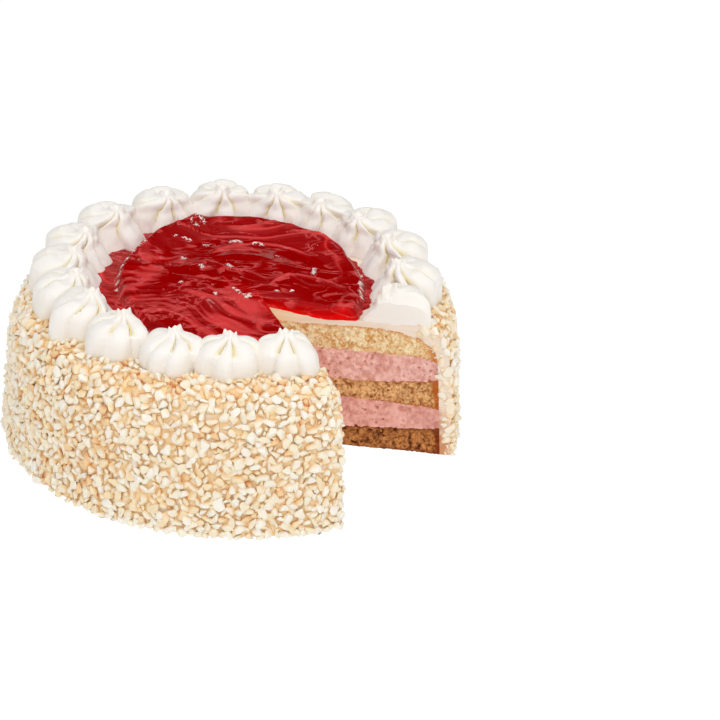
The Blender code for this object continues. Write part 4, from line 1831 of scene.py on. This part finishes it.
    def bubbles(self, plan: Array) -> Array:
        """Say where bubbles are.

        Args:
            plan: places on the plan.

        Returns:
            Values from 0 to 1.
        """
        turns = np.radians(self.chain)
        spots = np.array(self.centre) + self.chain_radius * np.column_stack((np.cos(turns), np.sin(turns)))
        beads = np.zeros(plan.shape[:-1])
        for spot in (*self.beads, *spots):
            beads = np.maximum(beads, bell(length(plan - spot) / self.bead_width))
        return beads

    def humps(self, plan: Array) -> Array:
        """Raise the few larger humps of jelly, in metres at each place on the plan."""
        return sum(tall * bell(length(plan - (x, y)) / wide) for x, y, wide, tall in self.knobs)

    def cover(self, plan: Array, full: Array, strokes: Array, beads: Array) -> Array:
        """Say how far the jelly's surface is over the cream.

        Args:
            plan: places on the plan.
            full: how near to its full depth it is, from 0 to 1.
            strokes: heights of the spatula's marks.
            beads: where bubbles are, from 0 to 1.

        Returns:
            Heights in metres.
        """
        bearing, distance = measured(plan, self.centre)
        back = ramp(bearing, 15, 40) * ease((170 - bearing) / 35) * ramp(distance, 0.034, 0.032)
        raised = self.bead_height * beads + self.humps(plan) + self.back_rise * back
        cover = self.film + (self.thickness + strokes - 0.0006 + raised - self.film) * full
        edge = np.minimum(CUT.inside(plan), self.edge_round)
        bow = self.edge_round**2 - (self.edge_round - np.maximum(edge, 0)) ** 2
        cover = cover - self.edge_round + np.sqrt(bow)
        return np.maximum(cover, 0.0006)

    def build(self, material: bpy.types.Material) -> None:
        """Make and dress the jelly.

        Args:
            material: its finish.
        """
        angles = CUT.rays(self.rays, 0.7)
        plan = CUT.spots(angles, 1 - (1 - np.linspace(0, 1, self.steps)) ** 1.15, self.reach(angles))
        bearing, distance = measured(plan, self.centre)
        inset = self.edges(bearing)[0] - distance
        full = np.sqrt(ease(inset / self.edge_width))
        foot = height_on(STACK.coat_top, length(plan))
        (strokes, streaky), beads = self.strokes(plan), self.bubbles(plan)
        surface = foot + self.cover(plan, full, strokes, beads)
        points = between(lifted(plan, foot - 0.0003), lifted(plan, surface), self.rows)
        shape = points.shape[:3]
        # Painted light that comes through the jelly near the cut.
        cut = np.zeros(shape) + (0.35 * np.exp(-np.maximum(CUT.inside(plan), 0) / 0.0030))[..., None]
        for face in Face:
            near, lot = Grain(401).crumbs(points[face.value], 0.0042)
            swollen = self.swell[0] * Grain(403).rough(points[face.value], 0.006)
            dents = -self.swell[1] * ease((0.34 - near) / 0.2) * (lot > 0.5)
            CUT.carve(points, face, swollen + dents, self.fade_steps)
            # Painted light through the cut faces, brighter low down.
            cut[face.value] = 0.85 - 0.5 * np.linspace(0, 1, self.rows)
        # Painted sheen: the front and left of the pool and the ridges of the strokes are lighter and pinker.
        front = ease((0.004 - plan[..., 1]) / 0.03) * ease((0.02 - plan[..., 0]) / 0.02)
        front = front * ramp(inset, 0.003, 0.013)
        crest_sheen = np.clip(strokes / 0.0008 + 0.17 * front + 0.02, 0, 1)
        tones = {"thin": 1 - full, "crest_sheen": crest_sheen, "streaky": streaky, "bead": beads}
        tones = {name: np.broadcast_to(tone[..., None], shape) for name, tone in tones.items()}
        piece = block("raspberry_jelly_pool", points, {**tones, "cut": cut}, math.radians(50))
        settle(piece, material, "jelly", "raspberry_jelly")


@dataclass(frozen=True)
class Lamp:
    """A soft square lamp that faces the cake, with its power in watts."""

    name: str
    place: Triple
    size: float
    power: float

    def hang(self, target: Triple) -> None:
        """Hang the lamp.

        Args:
            target: what it faces.
        """
        data = bpy.data.lights.new(self.name, "AREA")
        data.size = self.size
        data.energy = self.power
        lamp = bpy.data.objects.new(self.name, data)
        lamp.location = self.place
        lamp.rotation_euler = (Vector(target) - Vector(self.place)).to_track_quat("-Z", "Y").to_euler()
        bpy.context.scene.collection.objects.link(lamp)


@dataclass
class Studio:
    """The plain floor, the soft light and the camera, which turns to the right of +Y and looks down."""

    eye: Triple = (0.0, -1.20777, 0.67922)
    yaw: float = 0.0478
    pitch: float = -0.4914
    roll: float = 0.0411
    lens: float = 145.33
    floor_size: float = 30.0
    floor_height: float = -0.0003
    floor_glow: float = 1.03
    room_light: float = 0.99
    bright_side: Triple = (0.0, -0.48, 0.877)
    target: Triple = (0.0, 0.0, 0.04)
    lamps: tuple[Lamp, ...] = (
        Lamp("key", (-0.9, -1.0, 1.5), 0.5, 0.6),
        Lamp("fill", (1.3, -1.2, 0.9), 1.0, 0.85),
        Lamp("top", (0.1, 0.45, 1.6), 1.2, 3.1),
        Lamp("spark", (-0.25, 1.05, 1.5), 0.12, 0.8),
        Lamp("glint", (-0.5, -1.6, 0.65), 0.06, 0.3),
        Lamp("left_rim", (-0.9, 1.9, 0.5), 0.12, 0.5),
        Lamp("right_rim", (1.7, 0.3, 0.8), 0.5, 2.6),
        Lamp("inside", (0.0, -0.6, 0.9), 0.7, 1.75),
    )

    def camera(self) -> None:
        """Stand the camera where the photograph was taken from."""
        level = math.cos(self.pitch)
        ahead = Vector((math.sin(self.yaw) * level, math.cos(self.yaw) * level, math.sin(self.pitch)))
        right = ahead.cross(Vector((0, 0, 1))).normalized()
        up = right.cross(ahead)
        side = math.cos(self.roll) * right + math.sin(self.roll) * up
        top = math.cos(self.roll) * up - math.sin(self.roll) * right
        data = bpy.data.cameras.new("camera")
        data.lens = self.lens
        camera = bpy.data.objects.new("camera", data)
        turned = Matrix((side, top, -ahead)).transposed().to_4x4()
        camera.matrix_world = Matrix.Translation(self.eye) @ turned
        bpy.context.scene.collection.objects.link(camera)
        bpy.context.scene.camera = camera

    def floor(self) -> None:
        """Lay the white floor, which only glows, so that it stays even and bare of shadows."""
        half = self.floor_size / 2
        signs = ((-1, -1), (1, -1), (1, 1), (-1, 1))
        corners = np.array([(x * half, y * half, self.floor_height) for x, y in signs])
        floor = piece_from("floor", corners, [(0, 1, 2, 3)], {}, 1.0)
        material, board = new_board("floor")
        glow = {"Emission Color": paint(255, 255, 255), "Emission Strength": self.floor_glow}
        board.finish(paint(0, 0, 0), 1.0, {**glow, "Specular IOR Level": 0.0})
        floor.data.materials.append(material)

    def world(self) -> None:
        """Make the room: bright overhead and in front, dark low behind the cake."""
        world = bpy.data.worlds.new("room")
        world.use_nodes = True
        bpy.context.scene.world = world
        board = Board(world.node_tree)
        toward = board.node("ShaderNodeTexCoord", {}, {}, "Generated")
        sides = {0: toward, 1: self.bright_side}
        facing = board.node("ShaderNodeVectorMath", {"operation": "DOT_PRODUCT"}, sides, "Value")
        colour = board.mix(facing.band(-0.04, 0.78), paint(20, 18, 18), paint(248, 250, 255))
        light = board.node("ShaderNodeBackground", {}, {"Color": colour, "Strength": self.room_light})
        board.end("ShaderNodeOutputWorld", light)

    def build(self) -> None:
        """Set up the camera, the floor and the light."""
        self.camera()
        self.floor()
        self.world()
        for lamp in self.lamps:
            lamp.hang(self.target)
        bpy.context.scene.view_settings.view_transform = "Standard"


# The bottom sponge's darker colours are partly its soaking and partly painted shade; the top sponge's paler
# colours are partly painted light.
LAYERS = (
    (
        Sponge("sponge_bottom", *STACK.sides(0), browned=(0.9, 0.75, 1.0)),
        SpongeFinish("sponge_soaked_and_shaded", paint(214, 142, 78), paint(80, 24, 0), paint(140, 58, 10)),
    ),
    (
        RaspberryCream("raspberry_cream_lower", *STACK.sides(1)),
        RaspberryCreamFinish(
            "raspberry_cream_low", paint(212, 138, 118), paint(248, 188, 172), paint(120, 48, 40)
        ),
    ),
    (
        Sponge("sponge_middle", *STACK.sides(2), browned=(0.6, 0.45, 1.0)),
        SpongeFinish("sponge_golden", paint(246, 195, 134), paint(148, 84, 30), paint(194, 92, 14)),
    ),
    (
        RaspberryCream("raspberry_cream_upper", *STACK.sides(3)),
        RaspberryCreamFinish(
            "raspberry_cream_high", paint(218, 150, 132), paint(255, 206, 192), paint(130, 54, 46)
        ),
    ),
    (
        Sponge("sponge_top", *STACK.sides(4), browned=(0.35, 0.7, 1.0)),
        SpongeFinish("sponge_pale_and_lit", paint(255, 240, 196), paint(218, 158, 82), paint(208, 108, 14)),
    ),
)

NUT_FINISHES = {
    Toast.BLANCHED: NutFinish("nut_blanched", paint(248, 240, 225), paint(243, 213, 163)),
    Toast.IVORY: NutFinish("nut_ivory", paint(247, 237, 216), paint(241, 208, 154)),
    Toast.CREAMY: NutFinish("nut_creamy", paint(246, 232, 204), paint(239, 200, 142)),
    Toast.GOLDEN: NutFinish("nut_golden", paint(246, 225, 186), paint(235, 188, 122)),
    Toast.BROWNED: NutFinish("nut_browned", paint(243, 208, 158), paint(218, 144, 76)),
}

COAT_FINISH = CoatFinish(
    "spread_cream", paint(242, 225, 205), paint(255, 232, 190), paint(250, 220, 172), paint(244, 230, 208),
    paint(204, 138, 92),
)
WHIPPED_FINISH = WhippedFinish(
    "whipped_cream", paint(247, 240, 231), paint(240, 228, 178), paint(247, 239, 226)
)
JELLY_FINISH = JellyFinish(
    "red_jelly", paint(150, 0, 1), paint(238, 8, 10), paint(226, 86, 84), paint(255, 234, 224)
)


def main() -> None:
    """Build the cake over its solids and light it."""
    logging.basicConfig(level=logging.INFO, format="%(name)s: %(message)s")
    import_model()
    for layer, finish in LAYERS:
        layer.build(finish.material())
    coat, rosettes = CreamCoat(), Rosettes()
    coat.build(COAT_FINISH.material())
    rosettes.build(WHIPPED_FINISH.material())
    nuts = NutCrust(coat, rosettes.middles())
    nuts.build({kind: finish.material() for kind, finish in NUT_FINISHES.items()})
    jelly = JellyPool(rosettes.crowns())
    jelly.build(JELLY_FINISH.material())
    Studio().build()


if __name__ == "__main__":
    main()
